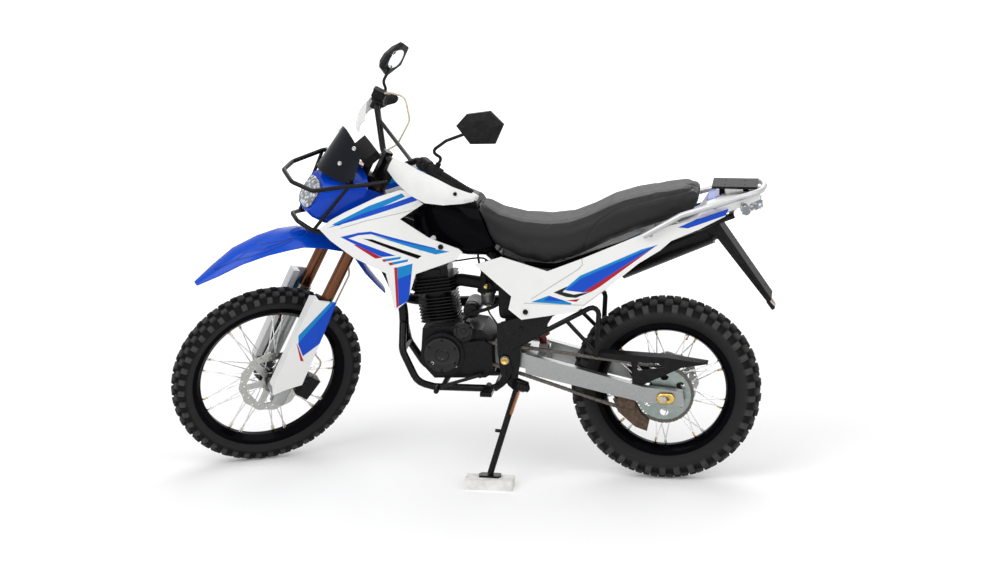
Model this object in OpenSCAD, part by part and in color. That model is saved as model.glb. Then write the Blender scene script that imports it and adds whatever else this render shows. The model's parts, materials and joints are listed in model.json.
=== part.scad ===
// Enduro motorcycle, parked on its side stand with the stand's foot on a low block.
// Bike frame: X rearward from the front axle, Y to the rider's right, Z up from the ground line.
// Fork frame: Z up the steering axis from the ground, X square to it and rearward, Y to the right.
// All sizes in millimetres, all angles in degrees.

/* [Stance] */
// Distance between the two axles
wheelbase = 1420; // [1390:5:1450]
// Steering head angle from the vertical
rake = 27; // [26:0.25:28]
// Ground distance from the steering axis to the front tyre's contact
trail = 105; // [95:1:115]
// Steering lock to each side; the parked machine rests on the left stop
steer_lock = 33.5; // [30:0.5:34]
// Lean onto the side stand
lean = 4; // [2:0.25:5]

/* [Front wheel] */
// Radius of the front tyre at the lugs' tips
front_tyre_r = 348; // [340:1:352]
// Width of the front tyre
front_tyre_w = 86; // [78:1:92]
// Lugs in one row of the front tyre
front_lug_n = 44; // [40:2:48]
// Height of the front tyre's lugs
front_lug_h = 11; // [9:0.5:13]
// Radius of the front bead seat
front_bead_r = 267; // [262:1:270]
// Inner width of the front rim
front_rim_w = 41; // [38:1:46]
// Radius of the front brake disc
front_disc_r = 120; // [112:1:126]

/* [Rear wheel] */
// Radius of the rear tyre at the lugs' tips
rear_tyre_r = 330; // [322:1:334]
// Width of the rear tyre
rear_tyre_w = 110; // [100:1:114]
// Lugs in one row of the rear tyre
rear_lug_n = 37; // [33:1:41]
// Height of the rear tyre's lugs
rear_lug_h = 13; // [11:0.5:15]
// Radius of the rear bead seat
rear_bead_r = 229; // [224:1:232]
// Inner width of the rear rim
rear_rim_w = 55; // [50:1:60]
// Radius of the rear brake disc
rear_disc_r = 110; // [100:1:116]

/* [Wheel parts] */
// Thickness of a brake disc
disc_t = 4; // [3:0.5:5]
// Radius of a spoke
spoke_r = 2; // [1.6:0.1:2.4]
// Spokes in each wheel, four to a group
spoke_n = 36; // [28:4:40]
// Radius of both axles
axle_r = 8.5; // [7.5:0.5:10]
// Running clearance on an axle, stem or hinge pin
run_gap = 0.05; // [0.02:0.01:0.1]
// Gap left between a piece and its seat
seat_gap = 0.3; // [0.2:0.05:0.4]

/* [Fork] */
// Half the distance between the two fork legs
leg_y = 95; // [90:1:100]
// Distance of the fork legs ahead of the steering axis
leg_x = 35; // [30:1:40]
// Radius of a fork tube
tube_r = 21.5; // [19:0.5:23]
// Radius of a lower leg
leg_r = 27; // [26:0.5:29]
// Height of the lower clamp's underside along the steering axis
clamp_low = 940; // [930:1:950]
// Height of the upper clamp's underside along the steering axis
clamp_high = 1150; // [1140:1:1160]
// Thickness of a clamp
clamp_t = 30; // [24:1:34]
// Radius of the steering stem
stem_r = 14; // [12:0.5:16]

/* [Bars] */
// Radius of the handlebar tube
bar_r = 11; // [10:0.5:12.5]
// Half the span of the handlebar
bar_half = 385; // [370:1:395]
// Radius of a grip
grip_r = 16.5; // [15.5:0.5:18]
// Radius of the lamp guard's tube
guard_r = 8; // [6:0.5:10]

/* [Frame] */
// Radius of the cradle tubes
cradle_r = 13; // [11:0.5:15]
// Half the distance between the cradle tubes
cradle_y = 90; // [86:1:94]
// Height of the cradle's lower run
cradle_z = 335; // [328:1:342]
// Radius of the single front down tube
down_r = 17; // [15:0.5:20]
// Radius of the rails that carry the seat
rail_r = 11; // [9:0.5:13]
// Swingarm pivot, distance behind the front axle
pivot_x = 873; // [865:1:880]
// Swingarm pivot, height above the ground
pivot_z = 447; // [440:1:455]

/* [Swingarm and chain] */
// Inner face of a swingarm leg from the middle plane
arm_y = 93; // [91:0.5:97]
// Thickness of a swingarm leg
arm_t = 28; // [24:1:32]
// Middle of the chain from the middle plane
chain_y = 78; // [76:0.5:79]
// Pitch of the chain
chain_pitch = 12.7; // [12:0.1:13]
// Teeth on the rear sprocket
teeth_n = 48; // [44:1:50]
// Thickness of the rear sprocket
sprocket_t = 5; // [4:0.5:6]

/* [Bodywork] */
// Thickness of the plastic panels
panel_t = 4; // [3:0.5:5]
// Greatest distance of a shroud from the middle plane
shroud_y = 196; // [190:1:202]
// Greatest distance of a side panel from the middle plane
panel_y = 136; // [132:1:142]
// Widening of the seat on each side
seat_extra = 0; // [-6:1:6]
// Rack plate's length
rack_l = 152; // [144:1:160]
// Rack plate's width
rack_w = 130; // [120:1:150]
// Circle of the four rack holes
rack_pcd = 90; // [80:1:100]
// Radius of a rack hole
rack_hole_r = 3.3; // [2.7:0.1:4.3]
// Spacing of the two number plate holes
plate_pcd = 90; // [80:1:100]
// Radius of a number plate hole
plate_hole_r = 3.3; // [2.7:0.1:4.3]

/* [Side stand] */
// Radius of the stand's leg
stand_r = 11; // [10:0.5:13]
// Height of the block under the stand's foot
block_h = 35; // [30:1:40]
// Length of the block
block_l = 166; // [150:1:190]
// Depth of the block
block_w = 83; // [76:1:110]

/* [Hidden] */
$fn = 48;
eps = 0.01;

// Vector helpers
function unit(v) = v / norm(v);
function mix(a, b, t) = a + (b - a) * t;
function mir(p) = [p.x, -p.y, p.z];
function rx(a, v) = [v.x, v.y * cos(a) - v.z * sin(a), v.y * sin(a) + v.z * cos(a)];
function ry(a, v) = [v.x * cos(a) + v.z * sin(a), v.y, -v.x * sin(a) + v.z * cos(a)];
function rz(a, v) = [v.x * cos(a) - v.y * sin(a), v.x * sin(a) + v.y * cos(a), v.z];

// Fork frame places
head_ground = [-trail, 0, 0];
axle_ahead = front_tyre_r * sin(rake) - trail * cos(rake);
axle_up = front_tyre_r * cos(rake) + trail * sin(rake);
front_axle = [-axle_ahead, 0, axle_up];
function fork_dir(v) = ry(rake, rz(steer_lock, v));
function fork_pt(v) = head_ground + fork_dir(v);
function on_axis(s) = head_ground + ry(rake, [0, 0, s]);

// Parking: lean, then the small pitch that sets both tyres on the floor
front_crown = front_tyre_w / 2;
rear_crown = rear_tyre_w / 2;
rear_axle = [wheelbase, 0, rear_tyre_r];
function parked_dir(p, v) = ry(p, rx(lean, v));
function low_of(p, c, n, big, crown) =
  parked_dir(p, c).z - (big - crown) * sqrt(1 - pow(parked_dir(p, n).z, 2)) - crown;
function front_low(p) = low_of(p, fork_pt(front_axle), fork_dir([0, 1, 0]), front_tyre_r, front_crown);
function rear_low(p) = low_of(p, rear_axle, [0, 1, 0], rear_tyre_r, rear_crown);
function better(p) = p - asin((front_low(p) - rear_low(p)) / wheelbase);
pitch = better(better(better(0)));
// Shift that sets the origin on the floor under the middle of the parked machine
origin_x = 744.16;
origin_y = -42.40;
park_shift = [-origin_x, -origin_y, -rear_low(pitch)];
function parked(v) = park_shift + parked_dir(pitch, v);
function unparked(v) = rx(-lean, ry(-pitch, v - park_shift));

module park() translate(park_shift) rotate([0, pitch, 0]) rotate([lean, 0, 0]) children();
module steered() park() translate(head_ground) rotate([0, rake, 0]) rotate([0, 0, steer_lock]) children();
module front_spun() steered() translate(front_axle) rotate([90, 0, 0]) children();
module rear_spun() park() translate(rear_axle) rotate([90, 0, 0]) children();
module both() {
  children();
  mirror([0, 1, 0]) children();
}

// A straight round bar from a to b
module rod(a, b, r) {
  d = b - a;
  translate(a) rotate([0, acos(d.z / norm(d)), atan2(d.y, d.x)]) cylinder(r = r, h = norm(d));
}

// An outline in the XZ plane made solid between two Y values
module prism(pts, y0, y1) {
  translate([0, y1, 0]) rotate([90, 0, 0]) linear_extrude(y1 - y0) polygon(pts);
}

// A box between two corners
module box(a, b) translate(a) cube(b - a);

// A closed skin over rings of equal count; each ring turns to the right hand about the way ahead
module skin(rings) {
  n = len(rings[0]);
  m = len(rings);
  pts = [for (r = rings) for (p = r) p];
  sides = [for (i = [0:m - 2]) for (k = [0:n - 1])
    let (a = i * n + k, b = i * n + (k + 1) % n) each [[a, a + n, b + n], [a, b + n, b]]];
  polyhedron(pts, concat(sides, [[for (k = [0:n - 1]) k]],
    [[for (k = [n - 1:-1:0]) (m - 1) * n + k]]), convexity = 6);
}

// A sheet between an outer and an inner grid of points
module sheet(outer, inner) {
  m = len(outer);
  n = len(outer[0]);
  pts = concat([for (r = outer) for (p = r) p], [for (r = inner) for (p = r) p]);
  h = m * n;
  faces = concat(
    [for (i = [0:m - 2]) for (j = [0:n - 2]) let (a = i * n + j)
      each [[a, a + n, a + n + 1], [a, a + n + 1, a + 1],
            [h + a, h + a + n + 1, h + a + n], [h + a, h + a + 1, h + a + n + 1]]],
    [for (i = [0:m - 2]) let (a = i * n, b = i * n + n - 1)
      each [[a, h + a, h + a + n], [a, h + a + n, a + n],
            [b, b + n, h + b + n], [b, h + b + n, h + b]]],
    [for (j = [0:n - 2]) let (a = j, b = (m - 1) * n + j)
      each [[a, a + 1, h + a + 1], [a, h + a + 1, h + a],
            [b, h + b, h + b + 1], [b, h + b + 1, b + 1]]]);
  polyhedron(pts, faces, convexity = 6);
}

// A route with its corners rounded
function corner(a, p, b, R, n) =
  let (d1 = unit(p - a), d2 = unit(b - p), c = min(1, max(-1, d1 * d2)), g = acos(c))
  g < 2 ? [p] :
  let (t = min(R * tan(g / 2), 0.45 * min(norm(p - a), norm(b - p))), q = t / tan(g / 2),
       m = unit(d2 - c * d1), o = p - d1 * t + m * q)
  [for (k = [0:n]) let (w = g * k / n) o - m * q * cos(w) + d1 * q * sin(w)];
function route(p, R, n = 4) =
  concat([p[0]], [for (i = [1:1:len(p) - 2]) each corner(p[i - 1], p[i], p[i + 1], R, n)], [p[len(p) - 1]]);
function way(p, i) = unit(p[min(i + 1, len(p) - 1)] - p[max(i - 1, 0)]);
function carried(p, i, u) =
  i == len(p) ? [] :
  let (t = way(p, i), v = unit(u - (u * t) * t)) concat([v], carried(p, i + 1, v));

// A round tube swept along a route
module tube(p, r, n = 10) {
  t0 = way(p, 0);
  u0 = abs(t0.y) < 0.9 ? [0, 1, 0] : [0, 0, 1];
  us = carried(p, 0, u0);
  skin([for (i = [0:len(p) - 1]) let (t = way(p, i), u = us[i], w = cross(t, u))
    [for (k = [0:n - 1]) p[i] + r * (cos(360 * k / n) * u + sin(360 * k / n) * w)]]);
}

// A rounded section square to X: middle place x, heights, half width, slant of the section's plane
function bow(c, e) = (c < 0 ? -1 : 1) * pow(abs(c), e);
function ring(x, lo, hi, w, slant = 0, zr = 0, e = 0.6, n = 20) =
  [for (k = [0:n - 1]) let (q = 360 * (k + 0.5) / n, z = (lo + hi) / 2 + (hi - lo) / 2 * bow(sin(q), e))
    [x - slant * (z - zr), w * bow(cos(q), e), z]];

// Wheels, made about Z with the left side up
// Rows of lugs: from and to in half widths, shift and length in pitches
lug_rows = [[-0.3, 0.3, 0, 0.52], [0.37, 1.05, 0.5, 0.56], [-1.05, -0.37, 0.5, 0.56]];
lug_side = 5;
tyre_wall = 7;
function crown(x, rx, ry, from, to, step) = [for (a = [from:step:to]) [x + rx * cos(a), ry * sin(a)]];
function lug_ring(n, shift, share, tip, root) = [for (k = [0:n - 1]) for (q = [[-0.5, root], [-0.5, tip],
  [0.5, tip], [0.5, root]]) let (a = 360 * (k + shift + share * q[0]) / n) q[1] * [cos(a), sin(a)]];

module tyre(r, w, bead, rim_w, lug_n, lug_h) {
  c = w / 2;
  b = rim_w / 2 - seat_gap;
  low = bead + seat_gap;
  x = r - c;
  rotate_extrude($fn = 96) polygon(concat(
    [[low, -b + 9], [low, -b], [low + 12.5, -b], [low + 16, -b - 5]],
    crown(x, c - lug_h, c - lug_side, -100, 100, 20),
    [[low + 16, b + 5], [low + 12.5, b], [low, b], [low, b - 9], [low + 15, b - 9]],
    crown(x, c - lug_h - tyre_wall, c - lug_side - tyre_wall, 90, -90, -30),
    [[low + 15, -b + 9]]));
  intersection() {
    rotate_extrude($fn = 96) polygon(concat(crown(x, c, c, -75, 75, 15),
      crown(x, c - lug_h - 3, c - lug_side - 3, 75, -75, -15)));
    for (row = lug_rows) translate([0, 0, row[0] * c]) linear_extrude((row[1] - row[0]) * c)
      polygon(lug_ring(lug_n, row[2], row[3], r + 10, x - 12));
  }
}

module rim(bead, w) {
  rotate_extrude($fn = 96)
    polygon([[bead - 21, -9], [bead - 14, -w / 2 + 5], [bead - 4, -w / 2 - 4], [bead + 12, -w / 2 - 4],
             [bead + 12, -w / 2], [bead, -w / 2], [bead, -w / 2 + 8], [bead - 15, -7],
             [bead - 15, 7], [bead, w / 2 - 8], [bead, w / 2], [bead + 12, w / 2],
             [bead + 12, w / 2 + 4], [bead - 4, w / 2 + 4], [bead - 14, w / 2 - 5], [bead - 21, 9]]);
}

// Four spokes to a group: side, outside or inside of the flange, way of the lean
spoke_set = [[1, 1, 1], [-1, 1, -1], [1, -1, -1], [-1, -1, 1]];
flange_t = 5;
module spokes(hub_r, flange_y, rim_r) {
  groups = spoke_n / 4;
  sweep_deg = 62;
  for (g = [0:groups - 1]) for (s = [0:3]) {
    set = spoke_set[s];
    a0 = 360 * g / groups + 360 * s / spoke_n;
    a1 = a0 + set[2] * sweep_deg * 0.5;
    y0 = set[0] * (flange_y + set[1] * (flange_t / 2 + spoke_r + seat_gap) + (set[1] > 0 ? 1.2 : 0));
    p0 = [hub_r * cos(a0), hub_r * sin(a0), y0];
    p1 = [rim_r * cos(a1), rim_r * sin(a1), set[0] * 4];
    d = unit(p1 - p0);
    rod(p0, p1 - d * 6, spoke_r);
    rod(p1 - d * 22, p1 - d * 2.3, spoke_r * 1.6);
  }
}

module hub(barrel_r, flange_r, flange_y, half, bore_r) {
  rotate_extrude($fn = 64)
    polygon([[bore_r, -half], [bore_r + 9, -half], [barrel_r, -flange_y - flange_t / 2],
             [flange_r, -flange_y - flange_t / 2], [flange_r, -flange_y + flange_t / 2],
             [barrel_r, -flange_y + flange_t / 2], [barrel_r - 4, 0], [barrel_r, flange_y - flange_t / 2],
             [flange_r, flange_y - flange_t / 2], [flange_r, flange_y + flange_t / 2],
             [barrel_r, flange_y + flange_t / 2], [bore_r + 9, half], [bore_r, half]]);
}

// A wavy brake disc with a carrier of six arms
module disc(r, hub_r) {
  waves = 12;
  band = 30;
  linear_extrude(disc_t) difference() {
    polygon([for (k = [0:waves * 8 - 1]) let (a = 360 * k / (waves * 8), q = r - 2.5 + 2.5 * cos(a * waves))
      [q * cos(a), q * sin(a)]]);
    circle(hub_r + seat_gap);
    for (k = [0:5]) rotate(60 * k) polygon([[hub_r + 14, -6], [r - band - 4, -(r - band) * 0.4],
      [r - band - 4, (r - band) * 0.4], [hub_r + 14, 6]]);
    for (k = [0:waves - 1]) rotate(360 * (k + 0.5) / waves) {
      translate([r - 11, 0]) circle(3.5);
      rotate(12) translate([r - 20, 0]) circle(3.5);
    }
  }
}

front_flange_y = 30;
front_flange_r = 42;
front_barrel_r = 26;
front_disc_y = 50;
rear_flange_y = 36;
rear_flange_r = 58;
rear_barrel_r = 40;
rear_disc_y = 66;
hub_bore = axle_r + run_gap;

module front_tyre() color("#1b1b1c") front_spun()
  tyre(front_tyre_r, front_tyre_w, front_bead_r, front_rim_w, front_lug_n, front_lug_h);
module front_rim() color("#151516") front_spun() rim(front_bead_r, front_rim_w);
module front_spokes() color("#c9cbcd") front_spun()
  spokes(front_flange_r - 3, front_flange_y, front_bead_r - 21 - seat_gap);
module front_hub() color("#2a2b2d") front_spun() {
  hub(front_barrel_r, front_flange_r, front_flange_y, leg_y - leg_r - 3, hub_bore);
}
module front_disc() color("#b4b7ba") front_spun()
  translate([0, 0, front_disc_y - disc_t / 2]) disc(front_disc_r, disc_seat_r(front_barrel_r, front_flange_y, leg_y - leg_r - 3, front_disc_y));

// Radius of a hub's cone at a height between flange and end
function disc_seat_r(barrel, fy, half, y) =
  mix(barrel, hub_bore + 9, (y - disc_t / 2 - fy - flange_t / 2) / (half - fy - flange_t / 2));

rear_half = arm_y - 4;
module rear_tyre() color("#1b1b1c") rear_spun()
  tyre(rear_tyre_r, rear_tyre_w, rear_bead_r, rear_rim_w, rear_lug_n, rear_lug_h);
module rear_rim() color("#151516") rear_spun() rim(rear_bead_r, rear_rim_w);
module rear_spokes() color("#c9cbcd") rear_spun()
  spokes(rear_flange_r - 3, rear_flange_y, rear_bead_r - 21 - seat_gap);
module rear_hub() color("#2a2b2d") rear_spun()
  hub(rear_barrel_r, rear_flange_r, rear_flange_y, rear_half, hub_bore);
module rear_disc() color("#b4b7ba") rear_spun() translate([0, 0, -rear_disc_y - disc_t / 2])
  disc(rear_disc_r, disc_seat_r(rear_barrel_r, rear_flange_y, rear_half, rear_disc_y));

// Chain line
sprocket_r = chain_pitch / (2 * sin(180 / teeth_n));
drive_r = 35;
drive = [800, 465];
chain_half = 6.5;
chain_plate = 6;

module sprocket() color("#a9ad9f") rear_spun() translate([0, 0, chain_y - sprocket_t / 2])
  linear_extrude(sprocket_t) difference() {
    polygon([for (k = [0:teeth_n - 1]) for (q = [[-0.36, -4.2], [-0.14, 3], [0.14, 3], [0.36, -4.2]])
      let (a = 360 * (k + q[0]) / teeth_n, r = sprocket_r + q[1]) [r * cos(a), r * sin(a)]]);
    circle(disc_seat_r(rear_barrel_r, rear_flange_y, rear_half, chain_y) + seat_gap + 3);
    for (k = [0:5]) rotate(60 * k + 30) translate([sprocket_r * 0.66, 0]) circle(sprocket_r * 0.15);
  }

// A run round both sprockets: the place at a length along it, moved out by d
run_a = [wheelbase, rear_tyre_r];
run_l = norm(drive - run_a);
run_g = atan2(drive.y - run_a.y, drive.x - run_a.x);
run_q = acos((sprocket_r - drive_r) / run_l);
arc_a = (360 - 2 * run_q) * PI / 180 * sprocket_r;
arc_b = 2 * run_q * PI / 180 * drive_r;
side_l = run_l * sin(run_q);
run_all = arc_a + arc_b + 2 * side_l;
pin_n = round(run_all / chain_pitch);
function dir2(w) = [cos(w), sin(w)];
function run_at(t, d) =
  t < arc_a ? run_a + (sprocket_r + d) * dir2(run_g + run_q + t / sprocket_r * 180 / PI) :
  t < arc_a + side_l ? mix(run_a + (sprocket_r + d) * dir2(run_g - run_q), drive + (drive_r + d) * dir2(run_g - run_q),
    (t - arc_a) / side_l) :
  t < arc_a + side_l + arc_b ? drive + (drive_r + d) * dir2(run_g - run_q + (t - arc_a - side_l) / drive_r * 180 / PI) :
  mix(drive + (drive_r + d) * dir2(run_g + run_q), run_a + (sprocket_r + d) * dir2(run_g + run_q),
    (t - arc_a - side_l - arc_b) / side_l);
chain_waist = 2.2;
function belt(d, waist = 0) = [for (k = [0:2 * pin_n - 1]) run_at(run_all * k / (2 * pin_n), d - (k % 2) * waist)];

module chain() color("#4a463f") park() difference() {
  prism(belt(chain_plate, chain_waist), -chain_y - chain_half, -chain_y + chain_half);
  prism(belt(-chain_plate, -chain_waist), -chain_y - chain_half - 1, -chain_y + chain_half + 1);
  translate([wheelbase, -chain_y, rear_tyre_r]) rotate([90, 0, 0])
    cylinder(r = sprocket_r + 4.2, h = sprocket_t + 2, center = true, $fn = 96);
}

// Frame
pivot = [pivot_x, 0, pivot_z];
head_low = clamp_low + clamp_t + 1.5;
head_high = clamp_high - 1.5;
head_tube_r = 25;
plate_t = 10;
stand_pivot = [926, -112, 352];
cradle = route([[500, -16, 540], [504, -62, 455], [560, -cradle_y, 350], [620, -cradle_y, cradle_z],
  [836, -cradle_y, cradle_z], [893, -cradle_y - 8, 392], [pivot_x + 6, -cradle_y - 8, pivot_z]], 60, 3);
backbone_r = 21;
backbone = route([on_axis(head_high - 45), [560, 0, 925], [760, 0, 850], [840, 0, 778]], 120);
seat_rail = route([[800, -62, 782], [900, -72, 745], [1030, -76, 735], [1180, -76, 790], [1480, -70, 900],
  [1650, -58, 965]], 120, 3);
strut_top = [1180, -76, 790];
strut_foot = [pivot_x + 14, -cradle_y - 9, pivot_z + 90];
peg_strut = [[pivot_x + 24, -cradle_y - 9, pivot_z + 40], [1200, -112, 660]];
peg_foot = [1190, -118, 470];
plate_pts = [[845, 575], [905, 578], [928, 470], [915, 372], [884, 350], [856, 392], [846, 470]];
cover_pts = [[858, 580], [1060, 640], [1010, 560], [925, 500], [900, 490]];

module frame() color("#202124") park() difference() {
  union() {
    rod(on_axis(head_low), on_axis(head_high), head_tube_r);
    tube(route([on_axis(head_low + 50), [500, 0, 600], [502, 0, 500]], 160), down_r);
    tube(backbone, backbone_r);
    rod([838, -66, 778], [838, 66, 778], 13);
    prism([[on_axis(head_low + 30).x, on_axis(head_low + 30).z], [on_axis(head_high - 20).x,
      on_axis(head_high - 20).z], [520, 935], [440, 760]], -5, 5);
    both() {
      tube(cradle, cradle_r);
      tube(seat_rail, rail_r);
      rod(strut_foot, strut_top, 10);
      tube(route([peg_strut[0], peg_strut[1], peg_foot], 22), 9);
      rod(mix(peg_strut[0], peg_strut[1], 0.62), mix(peg_strut[1], peg_foot, 0.93), 7);
      prism(plate_pts, -cradle_y - plate_t - 4, -cradle_y - 4);
      prism(cover_pts, -cradle_y - plate_t - 8, -cradle_y - plate_t + 1);
    }
    rod([505, -64, 455], [505, 64, 455], 11);
    rod([650, -cradle_y, cradle_z], [650, cradle_y, cradle_z], 10);
    rod([836, -cradle_y, cradle_z], [836, cradle_y, cradle_z], 10);
    rod([1420, -72, 879], [1420, 72, 879], 9);
    rod([1640, -60, 961], [1640, 60, 961], 9);
    rod(shock_a - [0, 94, 0], shock_a + [0, 94, 0], shock_pin_r);
    prism([[878, 352], [915, 376], [952, 362], [956, 336], [930, 328], [895, 336]], -96, -88);
    rod(stand_pivot - stand_axis * 8, stand_pivot - stand_axis * 30, 13);
    rod(stand_pivot - stand_axis * 14, stand_pivot - stand_axis * seat_gap, 17);
    rod(stand_pivot - stand_axis * 2, stand_pivot + stand_axis * (stand_boss + 4), 6);
  }
  rod(on_axis(head_low - 5), on_axis(head_high + 5), stem_r + run_gap);
  rod([pivot_x, -140, pivot_z], [pivot_x, 140, pivot_z], 9 + run_gap);
}

// Side stand: hinge axis in the plane of the leg and the vertical, so that the foot is lowest at rest
foot_row = [828 - origin_x, -203 - origin_y, block_h + seat_gap];
foot = unparked(foot_row);
stand_up = rx(-lean, ry(-pitch, [0, 0, 1]));
stand_boss = 2 * stand_r + 3;
stand_way = unit(foot - stand_pivot);
stand_axis = unit(stand_up - (stand_up * stand_way) * stand_way);

module side_stand() color("#1d1d1f") {
  park() difference() {
    union() {
      rod(stand_pivot, stand_pivot + stand_axis * stand_boss, 17);
      rod(stand_pivot + stand_axis * stand_boss / 2, foot + stand_up * 8, stand_r);
      rod(mix(stand_pivot, foot, 0.5), mix(stand_pivot, foot, 0.5) + [-34, -10, 6], 6);
    }
    rod(stand_pivot - stand_axis * 3, stand_pivot + stand_axis * (stand_boss + 6), 6 + run_gap);
    translate(foot) rotate([-lean, 0, 0]) rotate([0, -pitch, 0]) translate([-60, -60, -40]) cube([120, 120, 40]);
  }
  translate(foot_row) linear_extrude(7) polygon([[-36, -20], [30, -24], [40, -8], [36, 20], [-30, 22], [-40, 6]]);
}

module stand_block() color("#e8e6df")
  translate([foot_row.x - block_l / 2, foot_row.y - 15 - block_w / 2, 0]) cube([block_l, block_w, block_h]);

// Engine
bore_tilt = -8;
bore_foot = [640, 0, 540];
fin_n = 8;
head_fin_n = 5;
fin_pitch = 11.5;
fin_t = 3.5;
case_half = 86;
case_pts = [[582, 545], [700, 556], [790, 545], [832, 500], [834, 395], [800, 372], [620, 366], [572, 420]];

module engine_case() color("#232427") park() {
  difference() {
    prism(case_pts, -case_half, case_half);
    prism(belt(chain_plate + 4), -chain_y - chain_half - 3, -chain_y + chain_half + 3);
  }
  translate([drive.x, -chain_y + chain_half + 4, drive.y]) rotate([90, 0, 0])
    cylinder(r = drive_r - chain_plate - 1, h = 2 * chain_half + 6);
  translate([654, -case_half + 1, 460]) rotate([90, 0, 0]) cylinder(r = 76, h = 26);
  translate([654, -case_half - 24, 460]) rotate([90, 0, 0]) cylinder(r = 52, h = 8);
  translate([728, -case_half + 1, 540]) rotate([90, 0, 0]) cylinder(r = 36, h = 20);
  prism([[712, 500], [800, 512], [826, 490], [826, 410], [790, 385], [718, 392]], -case_half - 18, -case_half + 1);
  translate([690, case_half - 1, 450]) rotate([-90, 0, 0]) cylinder(r = 82, h = 28);
  translate([640, case_half - 1, 410]) rotate([-90, 0, 0]) cylinder(r = 44, h = 22);
}

module fin(l, w) linear_extrude(fin_t)
  polygon([[-l / 2, -w / 2 + 14], [-l / 2 + 14, -w / 2], [l / 2 - 14, -w / 2], [l / 2, -w / 2 + 14],
           [l / 2, w / 2 - 14], [l / 2 - 14, w / 2], [-l / 2 + 14, w / 2], [-l / 2, w / 2 - 14]]);

barrel_h = fin_n * fin_pitch + 12;
head_h = head_fin_n * fin_pitch + 8;
module cylinder_block() {
  translate([0, 0, 20]) {
    cylinder(r = 47, h = barrel_h + head_h);
    for (k = [0:fin_n - 1]) translate([0, 0, 4 + fin_pitch * k]) fin(132, 124);
    translate([-56, -52, barrel_h]) cube([112, 104, head_h]);
    for (k = [0:head_fin_n - 1]) translate([0, 0, barrel_h + 4 + fin_pitch * k]) fin(150, 132);
    translate([-58, -50, barrel_h + head_h - eps]) cube([116, 100, 26]);
    translate([-30, -56, barrel_h + head_h - eps]) cube([60, 112, 18]);
    translate([-40, 0, barrel_h + 24]) rotate([0, -90, 0]) cylinder(r = 24, h = 36);
    translate([40, 0, barrel_h + 24]) rotate([0, 90, 0]) cylinder(r = 24, h = 36);
  }
}
module cylinder_unit() color("#26272a") park() difference() {
  translate(bore_foot) rotate([0, bore_tilt, 0]) cylinder_block();
  translate([0, -100, 0]) prism([[500, 500], [800, 500], [800, 556.5], [700, 556.5], [582, 545.5], [500, 545.5]], 0, 200);
}
function bore_pt(v) = bore_foot + ry(bore_tilt, v);
port_z = 20 + barrel_h + 24;

carb = [805, 0, 690];
module intake() color("#303236") park() {
  tube([bore_pt([76 + seat_gap, 0, port_z]), bore_pt([90, 0, port_z]), carb - [24, 0, 0], carb + [10, 0, 0]], 22, 14);
  rod(carb - [14, 0, 34], carb + [0, 0, 36], 29);
  rod(carb + [5, -44, 0], carb + [5, 44, 0], 12);
  rod(carb + [10, 0, 0], [905, 0, 684], 27);
  prism([[900, 650], [900, 722], [985, 722], [1120, 752], [1150, 720], [1120, 668], [1030, 650]], -58, 58);
}

muffler_a = [1190, 197, 690];
muffler_b = [1570, 190, 858];
muffler_r = 52;
module exhaust() color("#1f1f21") park() {
  tube(route([bore_pt([-76 - seat_gap, 0, port_z]), bore_pt([-96, 0, port_z]), [498, 20, 684], [458, 66, 630],
    [500, 130, 586], [640, 138, 578], [830, 146, 586], [970, 172, 612], [1090, 194, 652],
    mix(muffler_a, muffler_b, 0.05)], 70), 19, 12);
  difference() {
    union() {
      rod(muffler_a, mix(muffler_a, muffler_b, 0.14), 40);
      rod(mix(muffler_a, muffler_b, 0.13), mix(muffler_a, muffler_b, 0.96), muffler_r);
      rod(mix(muffler_a, muffler_b, 0.95), muffler_b, 44);
      rod(mix(muffler_a, muffler_b, 0.99), mix(muffler_a, muffler_b, 1.05), 18);
    }
    rod(mix(muffler_a, muffler_b, 0.16), mix(muffler_a, muffler_b, 0.94), muffler_r - 3);
    rod(mix(muffler_a, muffler_b, 0.92), mix(muffler_a, muffler_b, 1.06), 14);
  }
  difference() {
    tube(route([[1300, 74, 834], [1300, 96, 752], [1300, muffler_a.y - muffler_r + 6, 740]], 20), 7, 8);
    mirror([0, 1, 0]) tube(seat_rail, rail_r + seat_gap);
  }
}

// Tank and seat share a sloping seam
seam_x = 812;
seam_slant = 0.42;
seam_z = 909;
tank_rings = [[556, 850, 1008, 60, 0], [600, 832, 1040, 104, 0.05], [660, 814, 1050, 126, 0.15],
  [720, 804, 1034, 130, 0.25], [770, 804, 1016, 122, 0.34]];
module tank() color("#141517") park() {
  difference() {
    skin(concat([for (r = tank_rings) ring(r[0], r[1], r[2], r[3], r[4], seam_z)],
      [ring(seam_x, 814, 1004, 100, seam_slant, seam_z)]));
    tube(backbone, backbone_r + seat_gap);
    prism(concat([for (q = backbone) [q.x, q.z]], [[900, 700], [450, 700]]), -backbone_r - seat_gap, backbone_r + seat_gap);
    both() rod(shroud_pin[0], shroud_pin[1], shroud_pin_r + seat_gap);
  }
  translate([640, 0, 1040]) cylinder(r = 34, h = 20);
}

// Seat rings: x, underside, top, half width
seat_rings = [[862, 830, 954, 116], [930, 806, 935, 126], [1020, 788, 930, 134], [1100, 810, 940, 137],
  [1170, 842, 968, 138], [1238, 876, 1004, 136], [1320, 910, 1030, 130], [1420, 944, 1050, 122],
  [1490, 966, 1062, 112]];
module seat() color("#2b2c30") park() skin(concat(
  [ring(seam_x + seat_gap * 2, 842, 998, 100 + seat_extra, seam_slant, seam_z)],
  [for (r = seat_rings) ring(r[0], r[1], r[2], r[3] + seat_extra, r[0] < 900 ? 0.2 : 0, seam_z, 0.5)],
  [ring(1530, 984, 1050, 96 + seat_extra, -0.3, 1015, 0.5)]));

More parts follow.
